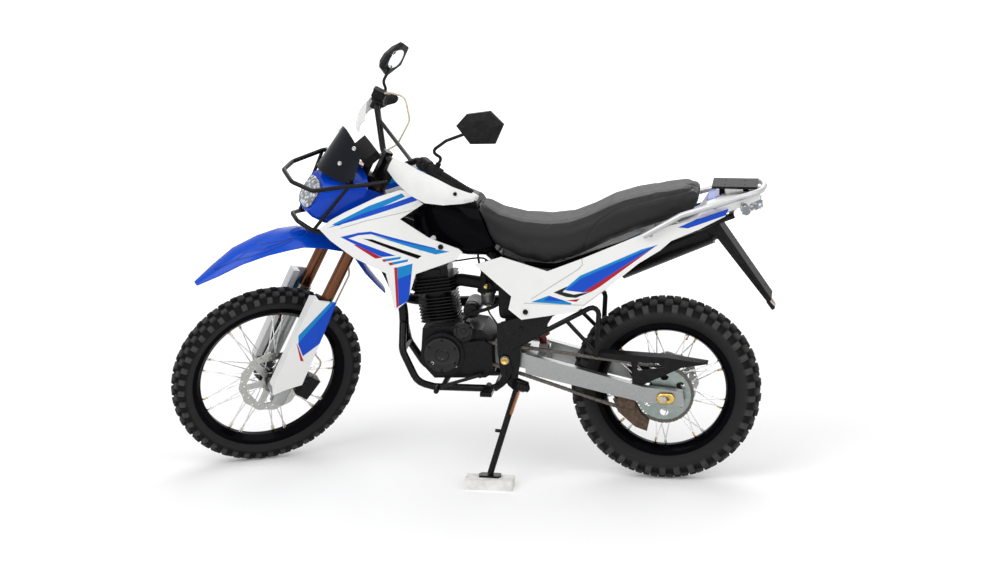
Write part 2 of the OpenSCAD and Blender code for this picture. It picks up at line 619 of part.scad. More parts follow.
// Shrouds: an outline cut from a bowed sheet
shroud_pts = [[253, 920], [300, 956], [348, 984], [461, 1040], [540, 1066], [566, 1056], [614, 1014], [534, 961],
  [628, 891], [724, 847], [736, 834], [716, 809], [578, 761], [546, 663], [500, 625], [490, 690],
  [476, 765], [368, 820], [290, 880]];
slot_pts = [[402, 891], [438, 888], [601, 827], [587, 816]];
shroud_bow = 1200;
shroud_pin = [[590, -shroud_y + 24, 850], [640, -100, 880]];
shroud_pin_r = 9;
module bowed_sheet(bow_r, mid_x, y, tip, tip_z) {
  translate([mid_x, 0, tip_z]) rotate([tip, 0, 0]) difference() {
    translate([0, -y + bow_r, -700]) cylinder(r = bow_r, h = 1400, $fn = 240);
    translate([0, -y + bow_r, -701]) cylinder(r = bow_r - panel_t, h = 1402, $fn = 240);
  }
}
module shroud() {
  intersection() {
    difference() {
      prism(shroud_pts, -320, -60);
      prism(slot_pts, -321, -59);
    }
    bowed_sheet(shroud_bow, 390, shroud_y, 8, 900);
  }
  rod(shroud_pin[0], shroud_pin[1], shroud_pin_r);
  difference() {
    rod([470, -shroud_y + 3, 905], [500, 0, 946], 8);
    tube(backbone, backbone_r + seat_gap);
  }
}
module shroud_left() color("#f1f1ee") park() shroud();
module shroud_right() color("#f1f1ee") park() mirror([0, 1, 0]) shroud();

side_pts = [[775, 789], [868, 820], [1026, 774], [1149, 824], [1350, 912], [1440, 942], [1540, 966], [1634, 999],
  [1623, 973], [1537, 928], [1444, 888], [1408, 855], [1335, 808], [1153, 654], [1124, 632], [933, 597],
  [889, 633], [900, 680]];
module side_skin() intersection() {
  prism(side_pts, -220, -40);
  bowed_sheet(4200, 1080, panel_y, 3, 780);
}
module side_panel() {
  difference() {
    side_skin();
    rod(rail_pin[0], rail_pin[1], rail_pin_r + seat_gap);
  }
  difference() {
    union() {
      rod([1000, -panel_y + 1, 735], [1000, -78, 738], 8);
      rod([1330, -panel_y + 5, 850], [1330, -74, 846], 8);
    }
    tube(seat_rail, rail_r + seat_gap);
  }
}
module side_panel_left() color("#f1f1ee") park() side_panel();
module side_panel_right() color("#f1f1ee") park() mirror([0, 1, 0]) side_panel();

tail_rings = [[1462, 922, 938, 88], [1512, 932, 960, 96], [1526, 936, 966, 98], [1560, 948, 1020, 98],
  [1640, 978, 1034, 92], [1700, 1002, 1040, 78], [1735, 1016, 1042, 60]];
module tail_cover() color("#f1f1ee") park() difference() {
  skin([for (r = tail_rings) ring(r[0], r[1], r[2], r[3], 0, 0, 0.5)]);
  both() tube(seat_rail, rail_r + seat_gap);
  rod([1640, -70, 961], [1640, 70, 961], 9 + seat_gap);
  both() rod(tail_pin[0], tail_pin[1], rail_pin_r + seat_gap);
  both() rod(stalk[0], stalk[1], stalk_r + seat_gap);
  for (x = rack_posts) box([x - 9 - seat_gap, -16 - seat_gap, 1012], [x + 9 + seat_gap, 16 + seat_gap, 1100]);
}

rack_posts = [1606, 1686];
stalk = [[1676, -76, 1010], [1690, -118, 1004]];
stalk_r = 6;
rail_pin = [[1376, -146, 921], [1376, -76, 866]];
tail_pin = [[1586, -138, 1016], [1586, -84, 996]];
rail_pin_r = 7;
rack_top = 1064;
rack_mid = 1650;
rail_path = route([[1352, -147, 908], [1478, -147, 982], [1586, -138, 1016], [1690, -108, 1044], [1740, -72, 1053],
  [1748, 0, 1054]], 60);
module grab_rails() color("#b9bcc0") park() {
  both() {
    tube(rail_path, 10);
    rod(tail_pin[0], tail_pin[1], rail_pin_r);
    difference() {
      rod(rail_pin[0], rail_pin[1], rail_pin_r);
      tube(seat_rail, rail_r + seat_gap);
    }
  }
}

module rack() color("#2e3034") park() difference() {
  union() {
    translate([rack_mid - rack_l / 2, -rack_w / 2, rack_top - 8]) cube([rack_l, rack_w, 8]);
    for (x = rack_posts) box([x - 9, -16, 1012 + seat_gap], [x + 9, 16, rack_top - 1]);
  }
  for (k = [0:3]) rotate_hole(k);
}
module rotate_hole(k) translate([rack_mid, 0, rack_top - 20]) rotate([0, 0, 45 + 90 * k])
  translate([rack_pcd / 2, 0, 0]) cylinder(r = rack_hole_r, h = 30);

// Plate bracket: slopes down and back from the tail
plate_a = [1560, 0, 940];
plate_b = [1770, 0, 650];
plate_way = unit(plate_b - plate_a);
plate_out = [-plate_way.z, 0, plate_way.x];
plate_mid = mix(plate_a, plate_b, 0.72);
plate_face = 9;
module plate_frame() translate(plate_mid)
  multmatrix([[plate_way.x, 0, plate_out.x, 0], [0, -1, 0, 0], [plate_way.z, 0, plate_out.z, 0], [0, 0, 0, 1]])
  children();
module rear_fender() color("#191a1c") park() {
  difference() {
    union() {
      prism([[1500, 915], [1560, 938], [1592, 944], [1780, 672], [1770, 655], [1575, 905], [1520, 890]], -50.7, 50.7);
      plate_frame() translate([-70, -62, 4]) cube([140, 124, 5]);
      plate_frame() translate([92, -30, -4]) cube([34, 60, 12]);
    }
    plate_frame() for (s = [-1, 1]) translate([s * plate_pcd / 2, 0, -30]) cylinder(r = plate_hole_r, h = 60);
  }
}

module rear_lamps() color("#c4c8cc") park() {
  prism([[1698, 1000.6], [1735, 1015.4], [1744, 1012], [1746, 984], [1706, 974]], -36, 36);
  both() {
    rod(stalk[0], stalk[1], stalk_r);
    rod(stalk[1] - [2, -2, 0], stalk[1] + [2, -28, -2], 17);
  }
}

// Swingarm with its axle: lugs inside the frame plates, a cross box, then the two legs
arm_mid = [1350, 340];
arm_front = pivot_x + 72;
arm_pts = [[arm_front, pivot_z + 26], [arm_mid.x, arm_mid.y + 28], [wheelbase + 66, rear_tyre_r + 24],
  [wheelbase + 72, rear_tyre_r - 20], [arm_mid.x, arm_mid.y - 28], [arm_front, pivot_z - 44]];
lug_pts = [[pivot_x - 14, pivot_z + 26], [arm_front + 8, pivot_z + 14], [arm_front + 8, pivot_z - 42],
  [pivot_x - 14, pivot_z - 26]];
cross_pts = [[arm_front, pivot_z + 16], [arm_front + 66, pivot_z + 4], [arm_front + 66, pivot_z - 58],
  [arm_front, pivot_z - 44]];
pivot_head = cradle_y + 9 + cradle_r + seat_gap;
shock_pin_r = 9;
shock_a = [962, 0, 602];
shock_b = [996, 0, pivot_z + 24];
module swingarm() color("#b3b6b9") park() {
  both() prism(arm_pts, -arm_y - arm_t, -arm_y);
  prism(cross_pts, -arm_y - arm_t + 1, arm_y + arm_t - 1);
  both() prism(lug_pts, -78, -40);
  rod([pivot_x, -84, pivot_z], [pivot_x, 84, pivot_z], 27);
  rod([pivot_x, -pivot_head - 9, pivot_z], [pivot_x, pivot_head + 9, pivot_z], 9);
  both() rod([pivot_x, -pivot_head - 8, pivot_z], [pivot_x, -pivot_head, pivot_z], 15);
  rod([wheelbase, -arm_y - arm_t - 10, rear_tyre_r], [wheelbase, arm_y + arm_t + 10, rear_tyre_r], axle_r);
  both() rod([wheelbase, -arm_y - arm_t - 8, rear_tyre_r], [wheelbase, -arm_y - arm_t + 1, rear_tyre_r], 14);
  both() rod([wheelbase, -arm_y - 1, rear_tyre_r], [wheelbase, -rear_half - 0.5, rear_tyre_r], 13);
  both() prism([[shock_b.x - 16, pivot_z], [shock_b.x - 14, shock_b.z + 12], [shock_b.x + 14, shock_b.z + 12],
    [shock_b.x + 16, pivot_z - 8]], -28, -20);
  rod(shock_b - [0, 24, 0], shock_b + [0, 24, 0], shock_pin_r);
}

// Height of the arm's top and bottom edges ahead of its middle
function arm_share(x) = (x - arm_front) / (arm_mid.x - arm_front);
function arm_top(x) = mix(pivot_z + 26, arm_mid.y + 28, arm_share(x)) + seat_gap;
function arm_low(x) = mix(pivot_z - 44, arm_mid.y - 28, arm_share(x)) - seat_gap;

module chain_guard() color("#1c1d1f") park() {
  difference() {
    prism([[1201, 482], [1440, 470], [1569, 452], [1480, 436], [1345, arm_top(1345)], [1312, arm_top(1312)],
      [1308, 452], [1201, 464]], -arm_y - 16, -arm_y - 10);
    prism([[1330, 452], [1400, 450], [1420, 436], [1330, 420]], -arm_y - 20, -arm_y);
  }
  prism([[1201, 482], [1440, 470], [1569, 452], [1569, 449], [1440, 466], [1201, 478]], -arm_y - 11, -chain_y + 18);
}

module chain_guide() color("#5c3a22") park() difference() {
  union() {
    prism([[1244, 314], [1322, 296], [1340, 262], [1370, 236], [1362, 200], [1322, 214], [1262, 268]],
      -arm_y - 4, -chain_y + 17);
    prism([[1262, 290], [1322, 280], [1322, arm_low(1322)], [1262, arm_low(1262)]], -arm_y - 12, -arm_y - 1);
  }
  prism(belt(chain_plate + 3), -chain_y - chain_half - 3, -chain_y + chain_half + 3);
}

shock_way = unit(shock_b - shock_a);
module rear_shock() color("#8d2a22") park() difference() {
  union() {
    rod(shock_a + shock_way * 8, shock_b - shock_way * 8, 14);
    for (q = [shock_a, shock_b]) rod(q - [0, 15, 0], q + [0, 15, 0], 17);
    for (k = [0:4]) rod(mix(shock_a, shock_b, 0.24 + 0.11 * k), mix(shock_a, shock_b, 0.3 + 0.11 * k), 30);
  }
  for (q = [shock_a, shock_b]) rod(q - [0, 40, 0], q + [0, 40, 0], shock_pin_r + run_gap);
}

module foot_controls() color("#2a2b2d") park() {
  both() {
    difference() {
      rod([813, -cradle_y, 346], [813, -136, 350], 11);
      tube(cradle, cradle_r + seat_gap);
    }
    box([798, -206, 342], [838, -134, 356]);
  }
  rod([787, -case_half - 18 - seat_gap, 392], [787, -128, 392], 9);
  rod([787, -122, 392], [640, -126, 345], 6);
  rod([640, -122, 345], [640, -172, 345], 9);
  difference() {
    rod([760, cradle_y, 348], [760, 126, 352], 9);
    mirror([0, 1, 0]) tube(cradle, cradle_r + seat_gap);
  }
  rod([760, 120, 352], [600, 132, 372], 7);
  box([585, 118, 366], [625, 158, 378]);
}

module rear_caliper() color("#1a1a1c") park() difference() {
  translate([wheelbase - 96, 46, rear_tyre_r + 44]) rotate([0, -30, 0]) translate([-36, 0, -30]) cube([72, arm_y - 46 - seat_gap, 60]);
  translate([wheelbase, rear_disc_y, rear_tyre_r]) rotate([90, 0, 0])
    cylinder(r = rear_disc_r + 3, h = disc_t + 5, center = true, $fn = 96);
  translate([wheelbase, 0, rear_tyre_r]) rotate([-90, 0, 0]) cylinder(r = rear_bead_r * 0.3, h = 300);
}

// Steering: clamps, fork and all that turns with it, in the fork frame
module clamp_plate(r) difference() {
  union() {
    circle(r + 10);
    polygon([[-leg_x, -leg_y], [-leg_x - 22, -leg_y + 10], [-leg_x - 12, 0], [-leg_x - 22, leg_y - 10],
             [-leg_x, leg_y], [6, 26], [6, -26]]);
    for (s = [-1, 1]) translate([-leg_x, s * leg_y]) circle(tube_r + 10);
  }
  for (s = [-1, 1]) translate([-leg_x, s * leg_y]) circle(tube_r + run_gap);
}
riser_y = 32;
bar_mid_z = clamp_high + clamp_t + 78;
module clamps() color("#222326") steered() {
  translate([0, 0, clamp_low]) linear_extrude(clamp_t) clamp_plate(stem_r);
  translate([0, 0, clamp_high]) linear_extrude(clamp_t) clamp_plate(stem_r);
  translate([0, 0, clamp_low + 5]) cylinder(r = stem_r, h = clamp_high - clamp_low + 10);
  difference() {
    for (s = [-1, 1]) translate([-14, s * riser_y - 13, clamp_high + clamp_t - 1])
      cube([28, 26, bar_mid_z - clamp_high - clamp_t + 18]);
    rod([0, -100, bar_mid_z], [0, 100, bar_mid_z], bar_r + run_gap);
  }
}

leg_top = 690;
tube_low = 630;
module fork_tubes() color("#7d5132") steered()
  for (s = [-1, 1]) translate([-leg_x, s * leg_y, tube_low + seat_gap])
    cylinder(r = tube_r, h = clamp_high + clamp_t + 2 - tube_low);

module fork_legs() color("#a5a8ab") steered() {
  for (s = [-1, 1]) {
    difference() {
      union() {
        translate([-leg_x, s * leg_y, axle_up - 50]) cylinder(r = leg_r, h = leg_top - axle_up + 50);
        translate([-axle_ahead, s * leg_y, axle_up]) rotate([90, 0, 0]) cylinder(r = 21, h = 2 * leg_r - 8, center = true);
        translate([-axle_ahead, s * leg_y - leg_r + 6, axle_up - 18]) cube([axle_ahead - leg_x, 2 * leg_r - 12, 36]);
      }
      translate([-leg_x, s * leg_y, tube_low]) cylinder(r = tube_r + run_gap, h = 200);
    }
  }
  rod(front_axle - [0, leg_y, 0], front_axle + [0, leg_y, 0], axle_r);
}

guard_pts = [[-101, 731], [-13, 745], [-4, 620], [8, 410], [-40, 378], [-78, 344], [-92, 372]];
module fork_guards() color("#f1f1ee") steered() both() {
  prism(guard_pts, -leg_y - leg_r - 8, -leg_y - leg_r - seat_gap);
  prism([[-101, 731], [-78, 735], [-70, 380], [-92, 372]], -leg_y - leg_r - 8, -leg_y + 6);
}

bar_knee = [-20, -215, bar_mid_z + 103];
bar_in = [-4, -255, bar_mid_z + 101];
bar_end = [121, -bar_half, bar_mid_z + 97];
bar_half_path = [[0, -67, bar_mid_z], bar_knee, bar_in, bar_end];
module handlebar() color("#1a1a1b") steered() {
  tube(route(concat([for (k = [3:-1:0]) bar_half_path[k]], [for (k = [0:3]) mir(bar_half_path[k])]), 60, 3), bar_r, 12);
  rod([-14, -170, bar_mid_z + 73], [-14, 170, bar_mid_z + 73], 7);
}

grip_a = mix(bar_in, bar_end, 0.3);
grip_way = unit(bar_end - bar_in);
grip_out = unit([grip_way.y, -grip_way.x, 0]);
module hand_controls() color("#161617") steered() both() difference() {
  union() {
    rod(grip_a, bar_end - grip_way * 2, grip_r);
    rod(grip_a - grip_way * 3, grip_a, grip_r + 5);
    rod(grip_a - grip_way * 40, grip_a - grip_way * 4, 21);
    rod(grip_a - grip_way * 22, grip_a - grip_way * 22 + grip_out * 30, 9);
    rod(grip_a - grip_way * 24 + grip_out * 30, bar_end + grip_out * 29 - grip_way * 50, 5.5);
    rod(grip_a - grip_way * 22 + [0, 0, 14], grip_a - grip_way * 22 + [0, 0, 32], 9);
  }
  rod(bar_in - grip_way * 20, bar_end + grip_way * 20, bar_r + seat_gap);
}

// Handguard stations: x, y, top, bottom
hg_rows = [[-75, -150, 1318, 1270], [-60, -205, 1333, 1260], [-34, -275, 1344, 1254], [4, -332, 1354, 1260],
  [46, -378, 1358, 1288], [95, -404, 1364, 1322], [128, -406, 1368, 1342]];
hg_cols = 5;
hg_bulge = 8;
function hg_at(r, j, d) =
  let (t = j / hg_cols, b = hg_bulge * sin(180 * t) - d) [r[0], r[1], mix(r[2], r[3], t)] + b * grip_out;
module handguards() color("#f1f1ee") steered() both() {
  sheet([for (r = hg_rows) [for (j = [0:hg_cols]) hg_at(r, j, 0)]],
        [for (r = hg_rows) [for (j = [0:hg_cols]) hg_at(r, j, panel_t)]]);
  rod(bar_end + grip_way * seat_gap, bar_end + grip_way * 24, 10);
  rod(bar_end + grip_way * 14, hg_at(hg_rows[5], 3, panel_t / 2), 6);
}

// Mirror head: outline in the head's own plane, X outward and Z up
mirror_pts = [[-74, -30], [-60, 22], [6, 70], [66, 52], [70, -20], [-4, -62]];
mirror_mid = [46, -368, 1578];
mirror_turn = -39;
function mirror_ring(s, d) = [for (p = mirror_pts) mirror_mid + rz(mirror_turn, [p.x * s, d, p.y * s])];
mirror_foot = grip_a - grip_way * 22 + [0, 0, 32 + seat_gap];
module mirror_left() {
  skin([mirror_ring(0.55, -34), mirror_ring(0.98, -12), mirror_ring(1, 0), mirror_ring(0.94, 4)]);
  tube(route([mirror_foot, mirror_foot + [0, 0, 20], [-24, -272, 1420], [-8, -300, 1480], mirror_mid + [-10, 14, -20]], 24, 3), 5.5, 8);
}
mirror_drop = 84;
module mirrors() color("#1b1b1d") steered() {
  mirror_left();
  mirror([0, 1, 0]) {
    translate([0, 0, -mirror_drop]) skin([mirror_ring(0.55, -34), mirror_ring(0.98, -12), mirror_ring(1, 0), mirror_ring(0.94, 4)]);
    tube(route([mirror_foot, mirror_foot + [0, 0, 20], [0, -290, 1430], mirror_mid + [-10, 14, -20 - mirror_drop]], 24, 3), 5.5, 8);
  }
}

// Lamp cowl rings along X: place, underside, top, half width
cowl_rings = [[-222, 1004, 1128, 66], [-196, 992, 1150, 88], [-150, 988, 1186, 110], [-104, 1004, 1212, 128],
  [-84, 1016, 1220, 133]];
cheek_y = 132;
screen_pin = [[-168, -110, 1178], [-146, -78, 1146]];
screen_pin_r = 6;
module lamp_cowl() color("#1f4fb0") steered() {
  difference() {
    skin([for (r = cowl_rings) ring(r[0], r[1], r[2], r[3], -0.12, 1066)]);
    skin([ring(-232, 1012, 1118, 58, -0.12, 1066), ring(-206, 1018, 1112, 54, -0.12, 1066)]);
    box([-150, -96, 1020], [-60, 96, 1170]);
    box([-94, -cheek_y + 4, 1024], [-60, cheek_y - 4, 1240]);
    both() rod(screen_pin[0], screen_pin[1], screen_pin_r + seat_gap);
  }
  both() difference() {
    box([-92, -cheek_y + 2, 1036], [-leg_x, -88, 1066]);
    translate([-leg_x, -leg_y, 1000]) cylinder(r = tube_r + run_gap, h = 200);
  }
  both() box([-98, -cheek_y, 1050], [-20, -cheek_y + 4, 1178]);
}

module lamp_lens() color("#dfe6ea") steered()
  skin([ring(-236, 1022, 1104, 42, -0.12, 1066), ring(-228, 1013.4, 1116.6, 56.6, -0.12, 1066),
        ring(-206.4, 1018.6, 1111.4, 53.4, -0.12, 1066)]);

// Windscreen: bowed back at both sides
screen_cols = 8;
screen_rows = 5;
function screen_at(i, j, d) = let (q = 2 * i / screen_cols - 1, t = j / screen_rows)
  [mix(-236 + 84 * q * q, -208 + 44 * q * q, t) + d, q * mix(112, 96, t), mix(1152 + 14 * q * q, 1318 - 40 * q * q, t)];
module windscreen() color("#17181a") steered() {
  sheet([for (i = [0:screen_cols]) [for (j = [0:screen_rows]) screen_at(i, j, 0)]],
        [for (i = [0:screen_cols]) [for (j = [0:screen_rows]) screen_at(i, j, panel_t)]]);
  both() rod(screen_pin[0], screen_pin[1], screen_pin_r);
}

module dash() color("#1a1b1d") steered() {
  translate([-126, -62, clamp_high + clamp_t + 62]) rotate([0, 28, 0]) cube([34, 124, 62]);
  box([-74, -18, clamp_high + clamp_t + seat_gap], [-30, 18, clamp_high + clamp_t + 8]);
  box([-74, -18, clamp_high + clamp_t + 6], [-60, 18, clamp_high + clamp_t + 70]);
  box([-104, -18, clamp_high + clamp_t + 58], [-60, 18, clamp_high + clamp_t + 70]);
}

upper_loop = [[-52, -146, 1226], [-176, -142, 1172], [-276, -114, 1110], [-328, -46, 1096]];
lower_loop = [[-100, -108, 984], [-190, -76, 958], [-236, -30, 960]];
module lamp_guard() color("#151516") steered() difference() {
  union() {
    tube(route(concat(upper_loop, [for (k = [3:-1:0]) mir(upper_loop[k])]), 24, 3), guard_r);
    tube(route(concat(lower_loop, [for (k = [2:-1:0]) mir(lower_loop[k])]), 24, 3), guard_r);
    both() {
      rod(lower_loop[1], upper_loop[1], 6);
      rod(lower_loop[0], [-40, -100, 956], 7);
      rod(upper_loop[0], [-38, -110, 1168], 7);
    }
  }
  both() translate([-leg_x, -leg_y, 900]) cylinder(r = tube_r + 10 + seat_gap, h = 300);
}

// Front fender stations: x, crown height, half width, drop of the edges
fender_rows = [[-474, 628, 14, 4], [-436, 698, 40, 14], [-391, 779, 58, 26], [-324, 850, 68, 34], [-262, 896, 72, 38],
  [-200, 926, 68, 38], [-120, clamp_low - 3, 62, 34], [-30, clamp_low - seat_gap, 60, 28], [20, 924, 58, 24],
  [92, 868, 58, 18], [150, 832, 56, 12], [196, 806, 50, 8]];
fender_cols = 8;
function fender_up(i) = let (a = fender_rows[max(i - 1, 0)], b = fender_rows[min(i + 1, len(fender_rows) - 1)],
  d = unit([b[0] - a[0], 0, b[1] - a[1]])) [-d.z, 0, d.x];
function fender_at(i, j, d) = let (r = fender_rows[i], q = 1 - 2 * j / fender_cols)
  [r[0], q * r[2], r[1]] - (r[3] * pow(abs(q), 2.4) + d) * fender_up(i);
module front_fender() color("#1f4fb0") steered()
  sheet([for (i = [0:len(fender_rows) - 1]) [for (j = [0:fender_cols]) fender_at(i, j, 0)]],
        [for (i = [0:len(fender_rows) - 1]) [for (j = [0:fender_cols]) fender_at(i, j, panel_t)]]);

module front_indicators() color("#d7dadd") steered() both() {
  rod([-40, -cheek_y - seat_gap, 1116], [-40, -150, 1116], 6);
  rod([-40, -146, 1116], [-30, -182, 1108], 16);
}

module front_caliper() color("#1a1a1c") steered() difference() {
  union() {
    translate([64, -front_disc_y, 378]) rotate([0, 12, 0]) translate([-22, -24, -42]) cube([52, 44, 84]);
    rod([50, -leg_y + 20, 410], [-leg_x + 22, -leg_y + 14, 420], 12);
  }
  translate(front_axle + [0, -front_disc_y, 0]) rotate([90, 0, 0])
    cylinder(r = front_disc_r + 3, h = disc_t + 5, center = true, $fn = 96);
  translate([-leg_x, -leg_y, 300]) cylinder(r = leg_r + seat_gap, h = 400);
}

// Brake hose: from the right lever to the top clamp, and from the low clamp down to the caliper
hose_r = 3.5;
hose_top = mir(grip_a - grip_way * (40 + seat_gap) + [0, 0, 16.2]);
hose_high = [hose_top, hose_top + [-15, -16, 2], [-12, 205, 1425], [34, 160, 1442], [66, 112, 1380], [52, 92, 1290],
  [-14, 70, 1232], [-26, 66, 1208], [-26, 66, clamp_high + clamp_t + seat_gap]];
hose_low = [[-24, -68, clamp_low - seat_gap], [-24, -68, 906], [3, -leg_y, 846], [3, -leg_y, 570], [34, -74, 510],
  [88, -52, 474], [76.7, -52, 418.7]];
module hoses() color("#cfc4a4") steered() {
  tube(route(hose_high, 34, 3), hose_r, 8);
  tube(route(hose_low, 34, 3), hose_r, 8);
}

frame();
engine_case();
cylinder_unit();  // cylinder
intake();
exhaust();
tank();
shroud_left();
shroud_right();
seat();
side_panel_left();
side_panel_right();
tail_cover();
grab_rails();
rack();
rear_fender();
rear_lamps();
swingarm();
chain();
chain_guard();
chain_guide();
rear_shock();
foot_controls();
rear_caliper();
stand_block();
clamps();
fork_tubes();
fork_legs();
fork_guards();
handlebar();
hand_controls();
handguards();
mirrors();
lamp_cowl();
lamp_lens();
windscreen();
dash();
lamp_guard();
front_fender();
front_indicators();
front_caliper();
hoses();
front_tyre();
front_rim();
front_spokes();
front_hub();
front_disc();
rear_tyre();
rear_rim();
rear_spokes();
rear_hub();
sprocket();
rear_disc();
side_stand();
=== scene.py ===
"""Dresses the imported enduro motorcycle: finishes, seat, tyres, chain, small hardware and the studio."""
import json
import math

import bmesh
import bpy
import numpy as np
from bpy.props import FloatProperty, FloatVectorProperty, IntProperty, PointerProperty
from bpy.types import Operator, Panel, PropertyGroup
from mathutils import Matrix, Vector
from mathutils.bvhtree import BVHTree

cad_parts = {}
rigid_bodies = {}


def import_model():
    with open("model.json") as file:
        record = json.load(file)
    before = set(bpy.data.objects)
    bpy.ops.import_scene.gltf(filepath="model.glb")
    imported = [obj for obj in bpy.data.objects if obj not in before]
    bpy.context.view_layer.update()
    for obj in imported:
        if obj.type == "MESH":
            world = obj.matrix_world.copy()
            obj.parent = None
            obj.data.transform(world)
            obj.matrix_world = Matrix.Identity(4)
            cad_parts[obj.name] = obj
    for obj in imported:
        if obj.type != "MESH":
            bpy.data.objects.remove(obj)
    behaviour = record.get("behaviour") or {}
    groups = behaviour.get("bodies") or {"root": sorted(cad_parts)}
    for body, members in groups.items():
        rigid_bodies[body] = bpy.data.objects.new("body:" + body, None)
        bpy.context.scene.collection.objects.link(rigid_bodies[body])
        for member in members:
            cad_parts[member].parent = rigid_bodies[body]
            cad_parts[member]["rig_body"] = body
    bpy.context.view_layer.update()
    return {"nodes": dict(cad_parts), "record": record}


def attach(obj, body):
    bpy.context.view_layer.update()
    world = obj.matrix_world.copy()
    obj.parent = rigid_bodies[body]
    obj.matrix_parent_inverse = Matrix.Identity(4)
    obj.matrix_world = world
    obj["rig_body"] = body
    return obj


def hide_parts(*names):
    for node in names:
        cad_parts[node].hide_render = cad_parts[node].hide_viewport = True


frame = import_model()

bl_info = {
    "name": "Enduro motorcycle dressing",
    "version": (1, 0, 0),
    "blender": (4, 5, 0),
    "location": "View3D > Sidebar > Enduro",
    "description": "Finishes, soft seat, small hardware and studio for a parked enduro motorcycle",
    "category": "Object",
}

JOINTS = {j["name"]: j for j in frame["record"]["behaviour"]["joints"]}
MOUNTS = {m["name"]: m for m in frame["record"]["mounts"]}
# Wheelbase and the tyres' outer radii, in millimetres
WHEELBASE, REAR_R, FRONT_R = 1420.0, 330.0, 348.0


class Axes:
    """A right-handed set of axes in the row frame, used with millimetres."""

    def __init__(self, origin, y, z):
        self.y, self.z = np.array(y, float), np.array(z, float)
        self.y /= np.linalg.norm(self.y)
        self.x = np.cross(self.y, self.z)
        self.x /= np.linalg.norm(self.x)
        self.z = np.cross(self.x, self.y)
        self.o = np.array(origin, float)

    def at(self, points):
        """Points given in millimetres on these axes, in metres in the row frame."""
        return self.o + self.way(np.asarray(points, float) / 1000)

    def way(self, v):
        """A way given on these axes, in the row frame."""
        v = np.asarray(v, float)
        return v[..., :1] * self.x + v[..., 1:2] * self.y + v[..., 2:3] * self.z

    def inside(self, points):
        """Row-frame metres as millimetres on these axes."""
        d = (np.asarray(points, float) - self.o) * 1000
        return np.stack([d @ self.x, d @ self.y, d @ self.z], -1)


REAR, FRONT, STEER = JOINTS["rear_wheel_spin"], JOINTS["front_wheel_spin"], JOINTS["steering"]
BIKE = Axes((0, 0, 0), REAR["axis"], MOUNTS["rack_bolts"]["axis"])
BIKE.o = np.array(REAR["pos_m"]) - BIKE.way([WHEELBASE, 0, REAR_R]) / 1000
FORK = Axes(STEER["pos_m"], FRONT["axis"], STEER["axis"])
# Any way that is not along an axle
ASKEW = (0.3, 0.5, 0.81)
# Sides of the machine, with the sign of Y there
SIDES = (("left", -1), ("right", 1))


def wheel_axes(joint):
    """Axes at a wheel's middle, with Y along its axle."""
    return Axes(joint["pos_m"], joint["axis"], np.cross(joint["axis"], ASKEW))


def tint(name, description, default):
    """A colour setting."""
    return FloatVectorProperty(name=name, description=description, size=3, default=default, subtype="COLOR")


class StageSettings(PropertyGroup):
    azimuth: FloatProperty(name="Azimuth", description="Camera's turn from the left side, in degrees",
                           default=8.3)
    elevation: FloatProperty(name="Elevation", description="Camera's height angle, in degrees",
                             default=11.82)
    distance: FloatProperty(name="Distance", description="Camera to target", default=7.8924, unit="LENGTH")
    lens: FloatProperty(name="Lens", description="Focal length on a 36 mm sensor", default=81.47,
                        unit="CAMERA")
    target: FloatVectorProperty(name="Target", description="Point at the picture's middle", size=3,
                                default=(0.0885, 0.0424, 0.6813), subtype="XYZ_LENGTH")
    floor: tint("Floor", "Floor", (0.9, 0.9, 0.9))
    sky: FloatProperty(name="Sky", description="Level of the light from all round", default=0.42, min=0.0)


class PaintSettings(PropertyGroup):
    white: tint("White", "Panels", (0.84, 0.84, 0.83))
    blue: tint("Blue", "Broad stripes and front fender", (0.001, 0.064, 0.53))
    cyan: tint("Cyan", "Light stripes", (0.001, 0.22, 0.55))
    red: tint("Red", "Thin stripes", (0.42, 0.008, 0.02))
    black: tint("Black", "Dark flashes", (0.008, 0.008, 0.009))


class SeatSettings(PropertyGroup):
    voxel: FloatProperty(name="Voxel", description="Cell of the remeshed cover", default=0.006,
                         unit="LENGTH")
    pressure: FloatProperty(name="Pressure", description="Pressure that fills the cover", default=4.0)
    shrink: FloatProperty(name="Start", description="How far inside the solid it starts", default=0.004,
                          unit="LENGTH")
    cap: FloatProperty(name="Swell", description="Most that a point may move", default=0.008, unit="LENGTH")
    frames: IntProperty(name="Frames", description="Steps of the simulation", default=20, min=2)


class Wire:
    """A shader socket with arithmetic. Each operator adds one node through make."""

    def __init__(self, tree, socket):
        self.tree, self.socket = tree, socket

    @staticmethod
    def make(tree, kind, inputs, out=0, **settings):
        node = tree.nodes.new(kind)
        for key, value in settings.items():
            setattr(node, key, value)
        for key, value in inputs.items():
            if isinstance(value, Wire):
                tree.links.new(value.socket, node.inputs[key])
            else:
                node.inputs[key].default_value = value
        return Wire(tree, node.outputs[out])

    def math(self, operation, *others):
        values = dict(enumerate((self,) + others))
        return Wire.make(self.tree, "ShaderNodeMath", values, operation=operation)

    def __add__(self, other):
        return self.math("ADD", other)

    def __mul__(self, other):
        return self.math("MULTIPLY", other)

    __radd__, __rmul__ = __add__, __mul__

    def __sub__(self, other):
        return self.math("SUBTRACT", other)

    def __rsub__(self, other):
        return self * -1.0 + other

    def least(self, other):
        return self.math("MINIMUM", other)

    def wave(self):
        return self.math("SINE")

    def ramp(self, low, high):
        """0 below low and 1 above high, with a soft step between them."""
        return Wire.make(self.tree, "ShaderNodeMapRange", {0: self, 1: low, 2: high},
                         interpolation_type="SMOOTHSTEP")


